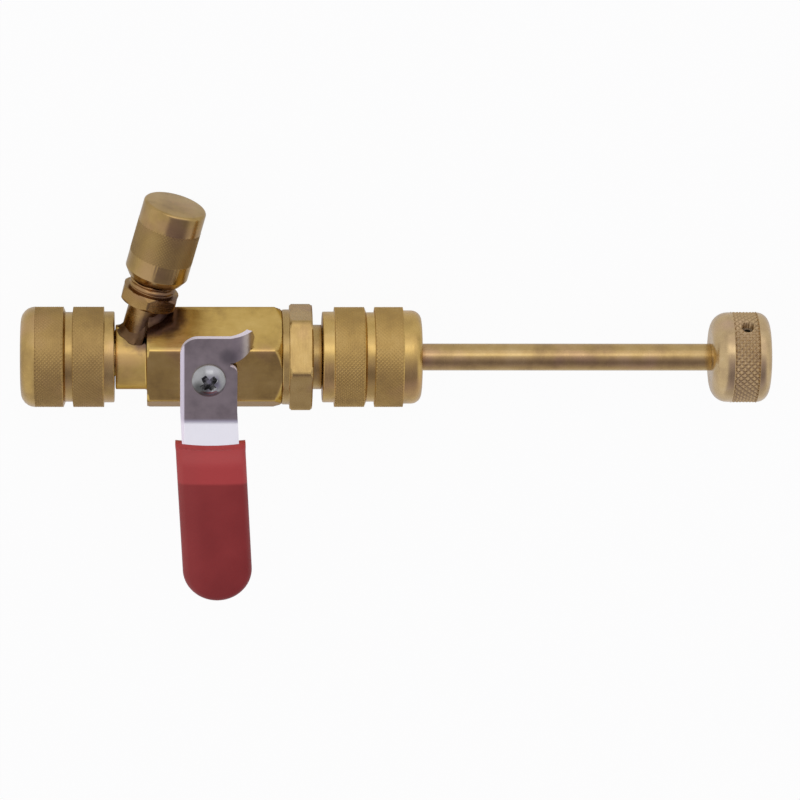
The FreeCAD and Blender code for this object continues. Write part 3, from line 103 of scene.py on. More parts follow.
def make_piece(name, points, faces, place, material, relief=None, soft_angle=32.0):
    """A welded piece from points in mm in a place's own axes, which stay on it as the attribute own.

    relief holds a number for each point: 0 in the bottom of a cut and 1 on plain metal.
    """
    mesh = bpy.data.meshes.new(name)
    mesh.from_pydata([Vector(point) * MM for point in points], [], faces)
    own = mesh.attributes.new("own", "FLOAT_VECTOR", "POINT")
    own.data.foreach_set("vector", [value for point in points for value in point])
    lift = mesh.attributes.new("relief", "FLOAT", "POINT")
    lift.data.foreach_set("value", relief or [1.0] * len(points))
    mesh.transform(place)
    work = bmesh.new()
    work.from_mesh(mesh)
    bmesh.ops.remove_doubles(work, verts=work.verts, dist=0.002 * MM)
    bmesh.ops.recalc_face_normals(work, faces=work.faces)
    work.to_mesh(mesh)
    work.free()
    mesh.polygons.foreach_set("use_smooth", [True] * len(mesh.polygons))
    mesh.set_sharp_from_angle(angle=math.radians(soft_angle))
    piece = put(name, mesh)
    mesh.materials.append(material)
    return piece


def full_turn(count):
    """As many angles as asked, evenly round the circle."""
    return [2.0 * math.pi * step / count for step in range(count)]


def quarter_turn(steps):
    """The angles from 0 to 90 degrees in equal steps."""
    return [math.radians(90.0 * step / steps) for step in range(steps + 1)]


def at_angle(station, radius, angle):
    """The point at a radius and an angle about a place's X axis."""
    return station, radius * math.cos(angle), radius * math.sin(angle)


def bridge(first, second):
    """Faces between two closed rows with the same count of points, which are given by number."""
    count = len(first)
    return [(first[step], first[(step + 1) % count], second[(step + 1) % count], second[step])
            for step in range(count)]


def dress(piece, body, slot, *nodes):
    """Puts a piece on its body and in the stead of CAD nodes. The slot is not used."""
    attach(piece, body)
    if nodes:
        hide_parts(*nodes)
    return piece


def soften(corners, steps=3):
    """Turns (station, radius, rounding, tag) corners into a path with rounded corners.

    The tag names the finish of the stretch from that corner to the next one. A corner may leave
    out its tag, which is then plain, or both its rounding and its tag.
    """
    corners = [(*corner, *(0.0, "plain")[len(corner) - 2:]) for corner in corners]
    path = []
    count = len(corners)
    for index, (station, radius, rounding, tag) in enumerate(corners):
        here = Vector((station, radius))
        before = Vector(corners[index - 1][:2]) - here
        after = Vector(corners[(index + 1) % count][:2]) - here
        before_tag = corners[index - 1][3]
        if rounding <= 0.0 or before.length < 1e-9 or after.length < 1e-9:
            path.append((station, radius, tag))
            continue
        before.normalize()
        after.normalize()
        half_angle = before.angle(after) / 2.0
        if half_angle > math.radians(89.0):
            path.append((station, radius, tag))
            continue
        tangent = rounding / math.tan(half_angle)
        centre = here + (before + after).normalized() * (rounding / math.sin(half_angle))
        first = here + before * tangent - centre
        last = here + after * tangent - centre
        sweep = first.angle_signed(last)
        between = "milled" if "milled" in (before_tag, tag) else "plain"
        for step in range(steps + 1):
            turn = -sweep * step / steps
            spoke = Vector((
                first.x * math.cos(turn) - first.y * math.sin(turn),
                first.x * math.sin(turn) + first.y * math.cos(turn),
            ))
            point = centre + spoke
            path.append((point.x, point.y, tag if step == steps else between))
    return path


NO_CUT = (math.inf, None)


def divide(path, cuts):
    """Divides the tagged stretches of a closed path into the steps of their cuts."""
    fine = []
    for index, (station, radius, tag) in enumerate(path):
        following = path[(index + 1) % len(path)]
        length = math.hypot(following[0] - station, following[1] - radius)
        count = max(1, round(length / cuts.get(tag, NO_CUT)[0]))
        for step in range(count):
            share = step / count
            fine.append((
                station + (following[0] - station) * share,
                radius + (following[1] - radius) * share,
                tag,
                min(share, 1.0 - share) * length,
            ))
    return fine


def lathe(name, corners, place, material, around, cuts=None, hexagon=None, steps=3):
    """Turns a closed profile about a place's X axis.

    around is a list of angles or a count. cuts maps a tag to its step in mm and to a function of
    (station, angle, edge), or None, that gives the cut's depth in mm and the relief from 0 to 1.
    hexagon(angle) gives the largest radius of the stretches tagged milled.
    """
    if isinstance(around, int):
        around = full_turn(around)
    cuts = cuts or {}
    points = []
    relief = []
    rings = []
    for station, radius, tag, edge in divide(soften(corners, steps), cuts):
        _, cut = cuts.get(tag, NO_CUT)
        ring = []
        for angle in around[:1] if radius < 1e-6 else around:
            depth, lift = cut(station, angle, edge) if cut else (0.0, 1.0)
            reached = radius - depth
            if hexagon and tag == "milled":
                reached = min(reached, hexagon(angle))
            ring.append(len(points))
            points.append(at_angle(station, reached, angle))
            relief.append(lift)
        rings.append(ring)
    faces = []
    for index, ring in enumerate(rings):
        following = rings[(index + 1) % len(rings)]
        if len(ring) == len(following):
            faces += bridge(ring, following) if len(ring) > 1 else []
            continue
        for step in range(len(around)):
            corner = (step + 1) % len(around)
            if len(ring) == 1:
                faces.append((ring[0], following[corner], following[step]))
            else:
                faces.append((ring[step], ring[corner], following[0]))
    return make_piece(name, points, faces, place, material, relief)


def wave(phase):
    """A triangle wave: 0 at whole numbers and 1 half way between them."""
    return 1.0 - abs(2.0 * (phase - math.floor(phase)) - 1.0)


CREST = 0.9


def knurl(count, pitch, depth, blunt=0.75, fine=4):
    """Diamond knurling: two sets of grooves that cross. blunt flattens the diamonds' tips."""
    def cut(station, angle, _):
        turn = count * angle / (2.0 * math.pi)
        height = min(wave(turn + station / pitch), wave(turn - station / pitch))
        height = min(height / blunt, 1.0)
        return depth * (1.0 - height), height * CREST
    return pitch / fine, cut


def screw_thread(pitch, depth, crest=0.2):
    """A right-handed thread, cut inward from the path's radius."""
    def cut(station, angle, edge):
        height = min(wave(station / pitch - angle / (2.0 * math.pi)) * (1.0 + crest), 1.0)
        fade = min(edge / pitch, 1.0)
        return depth * (1.0 - height) * fade, height
    return pitch / 8.0, cut


def rounded_hexagon(across_flats, corner_radius, clocking):
    """Radius of a hexagon with rounded corners, and the angles that draw it well."""
    flat = across_flats / 2.0
    centre = (flat - corner_radius) * 2.0 / math.sqrt(3.0)
    touch = math.atan2((flat - corner_radius) * math.tan(math.radians(30.0)), flat)
    edge = math.radians(30.0) - touch

    def radius_at(angle):
        off_corner = (angle - math.radians(clocking)) % math.radians(60.0)
        off_corner = min(off_corner, math.radians(60.0) - off_corner)
        if off_corner >= edge:
            return flat / math.cos(math.radians(30.0) - off_corner)
        across = centre * math.sin(off_corner)
        return centre * math.cos(off_corner) + math.sqrt(max(corner_radius ** 2 - across ** 2, 0.0))
    shares = [0.0, 0.35, 0.7, 1.0, 1.5]
    offsets = sorted({sign * share * edge for share in shares for sign in (-1.0, 1.0)})
    between = [math.radians(step) for step in range(4, 57, 4)]
    spared = 1.6 * edge
    angles = []
    for sector in range(6):
        corner = math.radians(clocking + 60.0 * sector)
        angles += [corner + offset for offset in offsets]
        angles += [corner + step for step in between if spared < step < math.radians(60.0) - spared]
    return radius_at, sorted(angle % (2.0 * math.pi) for angle in angles)


# Materials

class Nodes:
    """A node tree with short calls for the nodes used here."""

    def __init__(self, tree):
        self.tree = tree
        tree.nodes.clear()

    def feed(self, socket, value):
        """Sets a socket to a value, or links it to the socket given instead."""
        if isinstance(value, bpy.types.NodeSocket):
            self.tree.links.new(value, socket)
        else:
            socket.default_value = value

    def add(self, kind, inputs=None, **settings):
        """A new node with its settings; inputs maps its sockets to values or other sockets."""
        node = self.tree.nodes.new("ShaderNode" + kind)
        for name, value in settings.items():
            setattr(node, name, value)
        for socket, value in (inputs or {}).items():
            self.feed(node.inputs[socket], value)
        return node

    def math(self, kind, *values):
        return self.add("Math", dict(enumerate(values)), operation=kind).outputs[0]

    def vector(self, kind, first, second):
        return self.add("VectorMath", {0: first, 1: second}, operation=kind)

    def band(self, value, low, high, start=0.0, end=1.0):
        """A smooth step from start to end while the value goes from low to high."""
        inputs = {"Value": value, "From Min": low, "From Max": high, "To Min": start, "To Max": end}
        return self.add("MapRange", inputs, interpolation_type="SMOOTHSTEP").outputs["Result"]

    def ramp(self, value, stops):
        """A colour ramp from (position, colour) stops."""
        node = self.add("ValToRGB", {0: value})
        elements = node.color_ramp.elements
        while len(elements) < len(stops):
            elements.new(0.5)
        for element, (position, colour) in zip(elements, stops):
            element.position = position
            element.color = (*colour, 1.0)
        return node.outputs["Color"]

    def mix(self, share, first, second):
        """Goes from the first colour to the second, each a socket or three numbers."""
        inputs = {"Factor": share}
        for socket, colour in (("A", first), ("B", second)):
            linked = isinstance(colour, bpy.types.NodeSocket)
            inputs[socket] = colour if linked else (*colour, 1.0)
        return self.add("Mix", inputs, data_type="RGBA").outputs["Result"]


class Shader(Nodes):
    """The nodes of a new material with one Principled surface."""

    def __init__(self, name):
        self.material = bpy.data.materials.new(name)
        self.material.use_nodes = True
        super().__init__(self.material.node_tree)
        self.surface = self.add("BsdfPrincipled")
        self.output = self.add("OutputMaterial", {"Surface": self.surface.outputs[0]})

    def own(self, scale=(1.0, 1.0, 1.0)):
        """The piece's own coordinates in mm, scaled along each axis."""
        place = self.add("Attribute", attribute_name="own").outputs["Vector"]
        return self.vector("MULTIPLY", place, scale).outputs[0]

    def own_axis(self, axis):
        """One of the piece's own coordinates in mm: X, Y or Z."""
        return self.add("SeparateXYZ", {0: self.own()}).outputs[axis]

    def relief(self):
        """The piece's relief, from 0 in the bottom of its cuts to 1 on plain metal."""
        return self.add("Attribute", attribute_name="relief").outputs["Fac"]

    def noise(self, vector, scale, detail=3.0, roughness=0.55):
        inputs = {"Vector": vector, "Scale": scale, "Detail": detail, "Roughness": roughness}
        return self.add("TexNoise", inputs).outputs["Fac"]

    def facing(self, direction):
        """How squarely the surface faces a direction or its opposite, from 0 to 1."""
        normal = self.add("NewGeometry").outputs["Normal"]
        return self.math("ABSOLUTE", self.vector("DOT_PRODUCT", normal, direction).outputs["Value"])

    def distance(self, point):
        """Distance in mm from a point in the piece's own coordinates."""
        return self.vector("DISTANCE", self.own(), point).outputs["Value"]

    def bump(self, height, distance):
        """Bumps the surface by a height from 0 to 1; distance is in mm."""
        node = self.add("Bump", {"Strength": 1.0, "Distance": distance * MM, "Height": height})
        self.feed(self.surface.inputs["Normal"], node.outputs[0])

    def set(self, **values):
        """Feeds the surface's sockets, with underscores for the spaces in their names."""
        for name, value in values.items():
            self.feed(self.surface.inputs[name.replace("_", " ")], value)


BRASS = (0.56, 0.385, 0.135)
BRASS_LIGHT = (0.66, 0.475, 0.19)
BRASS_DULL = (0.42, 0.28, 0.105)
BRASS_PINK = (0.58, 0.36, 0.20)
# Dark purple heat tarnish, also used as painted shade where the port shades the bar and its own neck.
TARNISH_AND_SHADE = (0.12, 0.07, 0.075)
TARNISH_AND_SHADE_RAGGEDNESS = 1.5


def brass(name, roughness=0.27, marks=(6.0, 0.4, 0.4), mark_depth=0.01, tone=0.5, tint=(1.0, 1.0, 1.0),
          knurled=False, tarnish_and_shade=(), tarnish_and_shade_depth=0.88, grazing=(1.0, 1.0, 1.0)):
    """Turned or milled brass: fine tool marks, uneven tarnish, and grime in any grooves.

    marks are the scales along and across the piece. stains are (point, inner, outer) in mm: heat tarnish
    and painted shade.
    grazing tints what the metal mirrors at a low angle.
    """
    shader = Shader(name)
    cloud = shader.noise(shader.own(), 0.16, 4.0, 0.6)
    colour = shader.ramp(cloud, [(0.30, BRASS_DULL), (tone, BRASS), (0.78, BRASS_LIGHT)])
    blush = shader.band(shader.noise(shader.own(), 0.09, 2.0, 0.5), 0.52, 0.72, 0.0, 0.45)
    colour = shader.mix(blush, colour, BRASS_PINK)
    lines = shader.noise(shader.own(marks), 1.0, 5.0, 0.7)
    rough = shader.band(lines, 0.25, 0.75, roughness * 0.75, roughness * 1.3)
    if knurled:
        grime = shader.band(shader.relief(), 0.0, 0.7 * CREST, 0.7, 0.0)
        colour = shader.mix(grime, colour, BRASS_DULL)
        rubbed = shader.band(shader.relief(), CREST, CREST + 0.08, 1.0, 0.0)
        rough = shader.math("ADD", rough, shader.math("MULTIPLY", rubbed, 0.26))
        colour = shader.mix(shader.math("MULTIPLY", rubbed, 0.35), colour, BRASS_DULL)
    # Each patch darkens toward the tarnish colour: heat tarnish that is also painted shade by the port.
    for point, inner, outer in tarnish_and_shade:
        ragged = shader.noise(shader.own(), 0.5, 3.0, 0.6)
        spread = shader.math("MULTIPLY_ADD", ragged, -2.0 * TARNISH_AND_SHADE_RAGGEDNESS, TARNISH_AND_SHADE_RAGGEDNESS)
        away = shader.math("ADD", shader.distance(point), spread)
        mask = shader.band(away, inner, outer, tarnish_and_shade_depth, 0.0)
        colour = shader.mix(mask, colour, TARNISH_AND_SHADE)
    colour = shader.vector("MULTIPLY", colour, tint).outputs[0]
    shader.set(Base_Color=colour, Metallic=1.0, Roughness=rough, Specular_Tint=(*grazing, 1.0))
    shader.bump(lines, mark_depth)
    return shader.material


OFFSET_START = -9.6
OFFSET_PAINTED_HIGHLIGHT = (0.66, 0.665, 0.68)
EDGE_START = -5.5
EDGE_PAINTED_HIGHLIGHT = (0.97, 0.92, 0.96)
FLAP_BEND_POINT = (4.6, 5.8, 13.0)
FLAP_BEND_SHADE = (0.22, 0.20, 0.19)
SCREW_SHADE_POINT = (16.4, -2.0, 2.4)
SCREW_SHADE = (0.09, 0.095, 0.09)
RECESS_DARK = (0.14, 0.14, 0.135)


def steel(name, colour, roughness, marks=(0.5, 4.0, 0.5), mark_depth=0.006, painted_lever_light=False):
    """Plated steel with faint rolling lines and a cloudy bloom.

    For the lever it paints highlights on the offset and the edges, and paints shade at the flap's bend.
    For the screw it paints shade on one side of the dome and makes the recess darker.
    """
    shader = Shader(name)
    light = tuple(min(1.0, value * 1.18) for value in colour)
    dark = tuple(value * 0.8 for value in colour)
    cloud = shader.noise(shader.own(), 0.25, 4.0, 0.6)
    lines = shader.noise(shader.own(marks), 1.0, 4.0, 0.6)
    finish = shader.ramp(cloud, [(0.3, dark), (0.5, colour), (0.75, light)])
    uneven = 0.06 if painted_lever_light else 0.22
    rough = shader.band(lines, 0.3, 0.7, roughness * (1.0 - uneven), roughness * (1.0 + uneven))
    if painted_lever_light:
        # Painted highlight: the blade past the head, whose offset faces the key light, is painted paler.
        past = shader.band(shader.own_axis("Y"), OFFSET_START, OFFSET_START - 1.0)
        # Painted highlight on the sheet's edges, strongest on the inlet side: pale, rougher and partly
        # non-metallic.
        side = shader.band(shader.own_axis("X"), EDGE_START, EDGE_START - 0.4)
        edge = shader.math("MAXIMUM", side, shader.band(shader.facing(STEM), 0.46, 0.3))
        # Painted shade at the flap's bend.
        bend = shader.band(shader.distance(FLAP_BEND_POINT), 0.9, 3.0, 0.75, 0.0)
        finish = shader.mix(bend, finish, FLAP_BEND_SHADE)
        finish = shader.mix(past, finish, OFFSET_PAINTED_HIGHLIGHT)
        finish = shader.mix(edge, finish, EDGE_PAINTED_HIGHLIGHT)
        rough = shader.math("MAXIMUM", rough, shader.math("MULTIPLY", edge, 0.42))
        metal = shader.band(edge, 0.0, 1.0, 1.0, 0.2)
        mark_depth = mark_depth * 0.3
    else:
        metal = 1.0
        # Painted shade on one side of the screw's dome.
        side_shade = shader.band(shader.distance(SCREW_SHADE_POINT), 1.4, 3.4, 0.95, 0.0)
        finish = shader.mix(side_shade, finish, SCREW_SHADE)
        # Darker and rougher in the screw's recess, following its relief.
        recess_dark = shader.band(shader.relief(), 0.2, 0.8, 0.8, 0.0)
        finish = shader.mix(recess_dark, finish, RECESS_DARK)
        rough = shader.math("MAXIMUM", rough, shader.math("MULTIPLY", recess_dark, 0.5))
    shader.set(Base_Color=finish, Metallic=metal, Roughness=rough)
    shader.bump(lines, mark_depth)
    return shader.material


VINYL = (0.30, 0.036, 0.032)
VINYL_DARK = (0.25, 0.028, 0.025)
VINYL_LIGHT = (0.35, 0.045, 0.040)
VINYL_PAINTED_HIGHLIGHT = (0.56, 0.072, 0.066)
VINYL_PAINTED_SIDE_LIGHT = (0.42, 0.066, 0.058)


def vinyl(name):
    """Dipped red vinyl: satin and faintly dimpled, with painted highlights over the offset and toward one
    side.
    """
    shader = Shader(name)
    cloud = shader.noise(shader.own(), 0.08, 3.0, 0.5)
    colour = shader.ramp(cloud, [(0.3, VINYL_DARK), (0.55, VINYL), (0.8, VINYL_LIGHT)])
    # Painted highlight over the offset, where the grip faces the key light.
    lit = shader.band(shader.own_axis("Y"), -23.9, -23.1, 0.0, 0.8)
    colour = shader.mix(lit, colour, VINYL_PAINTED_HIGHLIGHT)
    # Painted light on the grip's inlet side, which faces the side light.
    aside = shader.band(shader.own_axis("X"), -0.5, -4.5, 0.0, 0.3)
    colour = shader.mix(aside, colour, VINYL_PAINTED_SIDE_LIGHT)
    dimples = shader.noise(shader.own(), 2.2, 2.0, 0.5)
    shader.set(Base_Color=colour, Roughness=shader.band(dimples, 0.3, 0.7, 0.34, 0.46))
    shader.set(Specular_IOR_Level=0.32)
    shader.bump(dimples, 0.02)
    return shader.material


def plain(name, colour, roughness, metallic=0.0):
    """A simple finish with a little cloud in it, in object coordinates, for what the CAD holds."""
    shader = Shader(name)
    place = shader.add("TexCoord").outputs["Object"]
    cloud = shader.noise(place, 350.0, 4.0, 0.6)
    dark = tuple(value * 0.75 for value in colour)
    shader.set(Base_Color=shader.ramp(cloud, [(0.3, dark), (0.65, colour)]), Metallic=metallic,
               Roughness=shader.band(cloud, 0.3, 0.7, roughness * 0.8, min(1.0, roughness * 1.2)))
    shader.bump(cloud, 0.01)
    return shader.material


# Brass pieces about the tool's axis

NUT_KNURL_PITCH = 0.9
NUT_KNURL_DEPTH = 0.2
NUT_SHOULDER = 10.7
NUT_GROOVE_FLOOR = 10.55
NUT_FLANK = 0.5
EDGE = 0.15
INLET_THREAD_PITCH = 1.27
FLARE_THREAD_DEPTH = 0.62


def knurl_count(radius, pitch):
    return round(2.0 * math.pi * radius / pitch)


def nut_band(start, first, groove, width, band):
    """Corners of two knurled bands with a sloped groove between them, up to the second band."""
    return [
        (start + first, band, 0.0, "knurl"), (start + groove, band),
        (start + groove + NUT_FLANK, NUT_GROOVE_FLOOR, 0.2),
        (start + groove + width - EDGE, NUT_GROOVE_FLOOR),
        (start + groove + width, band, 0.0, "knurl"),
    ]


def inlet_nut(material):
    """Coupler nut: a rounded nose, two knurled bands, the thread and the relief behind it."""
    start, end, band = reach("inlet_nut", ON_TOOL)
    nose_rounding = 3.4
    groove = 10.0
    groove_width = 2.3
    shoulder_start = end - 2.45
    back_wall = end - 3.45
    thread = 4.95
    thread_mouth = 0.8
    thread_end = 10.0
    relief = 5.8
    hole = 4.56
    count = knurl_count(band, NUT_KNURL_PITCH)
    corners = [
        (start, thread + thread_mouth, 0.1),
        (start, band, nose_rounding),
        *nut_band(start, nose_rounding, groove, groove_width, band),
        (shoulder_start, band), (shoulder_start, NUT_SHOULDER, 0.25), (end, NUT_SHOULDER, 0.3),
        (end, hole, 0.1), (back_wall, hole), (back_wall, relief), (thread_end, relief),
        (thread_end, thread, 0.0, "thread"), (thread_mouth, thread),
    ]
    cuts = {
        "knurl": knurl(count, NUT_KNURL_PITCH, NUT_KNURL_DEPTH),
        "thread": screw_thread(INLET_THREAD_PITCH, -FLARE_THREAD_DEPTH),
    }
    return lathe("coupler_nut", corners, ON_TOOL, material, count * 4, cuts, steps=6)


def outlet_nut(material):
    """Gland nut: two knurled bands, a smooth rounded end and the rod's hole."""
    start, end, band = reach("outlet_nut", ON_TOOL)
    bore = 6.8
    rod_hole = 3.6
    smooth = 11.0
    shoulder_length = 2.85
    first_width = 7.0
    groove_width = 2.5
    second_width = 6.6
    end_rounding = 2.4
    end_wall = end - 2.6
    second_end = start + shoulder_length + first_width + groove_width + second_width
    count = knurl_count(band, NUT_KNURL_PITCH)
    corners = [
        (start, bore, 0.1), (start, NUT_SHOULDER, 0.3),
        (start + shoulder_length, NUT_SHOULDER, 0.25),
        *nut_band(start, shoulder_length, shoulder_length + first_width, groove_width, band),
        (second_end, band), (second_end, smooth, 0.15), (end, smooth, end_rounding),
        (end, rod_hole, 0.25), (end_wall, rod_hole), (end_wall, bore),
    ]
    cuts = {"knurl": knurl(count, NUT_KNURL_PITCH, NUT_KNURL_DEPTH)}
    return lathe("gland_nut", corners, ON_TOOL, material, count * 4, cuts, steps=6)


BAR_FLATS = 22.225


def bar(material):
    """Neck and hexagonal bar, with the spigot, the ball chamber's mouth and the stem boss."""
    start, end, _ = reach("valve_body", ON_TOOL)
    hexagon_radius, angles = rounded_hexagon(BAR_FLATS, 0.3, 0.0)
    blank = BAR_FLATS / math.sqrt(3.0) - 0.12
    bore = 3.3
    spigot = 4.5
    neck = 7.6
    neck_start = 22.2
    hex_start = 29.6
    bevel = 0.5
    end_bevel = 1.64
    chamber = 8.0
    chamber_start = 34.8
    body = lathe("bar", [
        (start, bore), (start, spigot), (neck_start, spigot), (neck_start, neck, 0.3),
        (hex_start, neck, 0.5), (hex_start, blank - bevel, 0.0, "milled"),
        (hex_start + bevel, blank, 0.3, "milled"), (end - end_bevel, blank, 0.3, "milled"),
        (end, blank - end_bevel), (end, chamber), (chamber_start, chamber), (chamber_start, bore),
    ], ON_TOOL, material, angles, {"milled": (0.5, None)}, hexagon_radius)
    boss_low = 10.8
    boss_top = 12.11
    boss_radius = 5.6
    stem_hole = 3.56
    boss = lathe("boss", [
        (boss_low, stem_hole), (boss_low, boss_radius), (boss_top, boss_radius, 0.2),
        (boss_top, stem_hole),
    ], ON_STEM, material, 96)
    return join(body, boss)


def join(first, *others):
    """Makes one piece of several meshes."""
    chosen = [first, *others]
    with bpy.context.temp_override(
            active_object=first, selected_editable_objects=chosen, selected_objects=chosen):
        bpy.ops.object.join()
    return first


ADAPTER_CLOCKING = 26.0
ADAPTER_THREAD_PITCH = 1.411
ADAPTER_THREAD_DEPTH = 0.7


def adapter(material):
    """Collar, hexagon, neck and the thread under the outlet nut."""
    start, end, _ = reach("outlet_adapter", ON_TOOL)
    hexagon_radius, angles = rounded_hexagon(BAR_FLATS, 0.35, ADAPTER_CLOCKING)
    blank = BAR_FLATS / math.sqrt(3.0) - 0.14
    bore = 3.75
    spigot = 7.95
    spigot_end = 61.1
    collar = 11.2
    hex_start = 63.0
    hex_end = 68.3
    front_bevel = 0.45
    back_bevel = 0.5
    neck = 7.6
    neck_end = 70.6
    thread = 6.75
    corners = [
        (start, bore), (start, spigot), (spigot_end, spigot), (spigot_end, collar, 0.5),
        (hex_start, collar, 0.25), (hex_start, blank - front_bevel, 0.0, "milled"),
        (hex_start + front_bevel, blank, 0.2, "milled"),
        (hex_end - back_bevel, blank, 0.2, "milled"), (hex_end, blank - back_bevel),
        (hex_end, neck, 0.4), (neck_end, neck, 0.25), (neck_end, thread, 0.0, "thread"),
        (end, thread, 0.3), (end, bore, 0.2),
    ]
    cuts = {"milled": (0.4, None), "thread": screw_thread(ADAPTER_THREAD_PITCH, ADAPTER_THREAD_DEPTH)}
    return lathe("adapter", corners, ON_TOOL, material, angles, cuts, hexagon_radius)


def push_rod(material):
    """Rod with a thin tip that holds the gripper."""
    start, end, radius = reach("rod", ON_TOOL)
    tip = 1.5
    tip_end = start + 4.0
    return lathe("push_rod", [
        (start, 0.0), (start, tip, 0.3), (tip_end, tip), (tip_end, radius, 0.3),
        (end, radius, 0.2), (end, 0.0),
    ], ON_TOOL, material, 96)


KNOB_KNURL_PITCH = 1.55
KNOB_KNURL_DEPTH = 0.45
KNOB_PIN_TURN = math.radians(66.5)


def knob(material, dark):
    """Knob with smooth shoulders, a coarse knurled band and the cross pin's hole."""
    start, end, radius = reach("rod_knob", ON_TOOL)
    shoulder = radius - 0.1
    front_rounding = 4.0
    back_rounding = 2.9
    band_start = start + 4.9
    band_end = start + 10.8
    socket = 3.2
    socket_end = end - 2.0
    count = knurl_count(radius, KNOB_KNURL_PITCH)
    corners = [
        (start, socket, 0.1), (start, shoulder, front_rounding), (band_start, shoulder, 0.15),
        (band_start, radius, 0.0, "knurl"), (band_end, radius), (band_end, shoulder, 0.15),
        (end, shoulder, back_rounding), (end, 0.0), (socket_end, 0.0), (socket_end, socket),
    ]
    cuts = {"knurl": knurl(count, KNOB_KNURL_PITCH, KNOB_KNURL_DEPTH, 0.85, 8)}
    piece = lathe("knob", corners, ON_TOOL, material, count * 8, cuts, steps=8)
    pin_start, pin_end, _ = reach("knob_pin", ON_TOOL)
    middle = ALONG * ((pin_start + pin_end) / 2.0 * MM)
    across = STEM * math.cos(KNOB_PIN_TURN) + ASIDE * math.sin(KNOB_PIN_TURN)
    drill_radius = 1.53
    drill_reach = 12.0
    drill = lathe("drill", [
        (-drill_reach, 0.0),
        (-drill_reach, drill_radius),
        (drill_reach, drill_radius),
        (drill_reach, 0.0),
    ], standing(middle, across, across.cross(ALONG)), dark, 48)
    cut = piece.modifiers.new("pin_hole", "BOOLEAN")
    cut.operation = "DIFFERENCE"
    cut.object = drill
    cut.solver = "EXACT"
    settle(piece)
    bpy.data.objects.remove(drill)
    return piece


def settle(piece):
    """Applies a piece's modifiers."""
    graph = bpy.context.evaluated_depsgraph_get()
    mesh = bpy.data.meshes.new_from_object(piece.evaluated_get(graph), preserve_all_data_layers=True,
                                           depsgraph=graph)
    piece.modifiers.clear()
    piece.data = mesh


# Side port

PORT_HEX_FLATS = 12.7


def port_fitting(material):
    """Neck, hexagonal collar and male thread of the side port."""
    start, end, _ = reach("side_port_fitting", ON_PORT)
    hexagon_radius, angles = rounded_hexagon(PORT_HEX_FLATS, 0.3, ADAPTER_CLOCKING)
    blank = PORT_HEX_FLATS / math.sqrt(3.0) - 0.12
    bore = 2.0
    neck = 4.2
    hex_start = 14.6
    hex_end = 18.0
    bevel = 0.7
    groove = 5.0
    thread = 5.5
    thread_tip = 4.9
    thread_start = hex_end + 0.7
    groove_end = hex_end + 0.5
    tip_start = end - 0.3
    socket = 2.65
    socket_end = end - 14.5
    corners = [
        (start, bore), (start, neck), (hex_start, neck, 0.3),
        (hex_start, blank - bevel, 0.0, "milled"), (hex_start + bevel, blank, 0.2, "milled"),
        (hex_end - bevel, blank, 0.2, "milled"), (hex_end, blank - bevel), (hex_end, groove, 0.2),
        (groove_end, groove, 0.1), (thread_start, thread, 0.0, "thread"), (tip_start, thread),
        (end, thread_tip, 0.1), (end, socket, 0.2), (socket_end, socket), (socket_end, bore),
    ]
    cuts = {"milled": (0.35, None), "thread": screw_thread(INLET_THREAD_PITCH, FLARE_THREAD_DEPTH)}
    return lathe("port_fitting", corners, ON_PORT, material, angles, cuts, hexagon_radius)


CAP_KNURL_PITCH = 0.8
CAP_KNURL_DEPTH = 0.14


def port_cap(material):
    """Cap with a tapered mouth, a fine knurled band and a smooth top."""
    start, end, radius = reach("side_port_cap", ON_PORT)
    smooth = radius - 0.05
    bore = 5.6
    mouth = 6.2
    mouth_length = 1.8
    inner_end = end - 4.3
    band_start = end - 13.2
    band_end = end - 5.2
    flank = 0.2
    count = knurl_count(radius, CAP_KNURL_PITCH)
    corners = [
        (start, bore, 0.2), (start, mouth, 0.2), (start + mouth_length, smooth, 0.5),
        (band_start, smooth), (band_start + flank, radius, 0.0, "knurl"), (band_end, radius),
        (band_end + flank, smooth), (end, smooth, 0.7), (end, 0.0), (inner_end, 0.0), (inner_end, bore),
    ]
    cuts = {"knurl": knurl(count, CAP_KNURL_PITCH, CAP_KNURL_DEPTH)}
    return lathe("port_cap", corners, ON_PORT, material, count * 4, cuts, steps=5)


def flowed(depths, reach_out=6):
    """Depths round a joint after the braze has run: it bridges steps and keeps above the metal."""
    count = len(depths)
    around = range(-reach_out, reach_out + 1)
    return [max(depths[index], sum(depths[(index + step) % count] for step in around) / len(around))
            for index in range(count)]


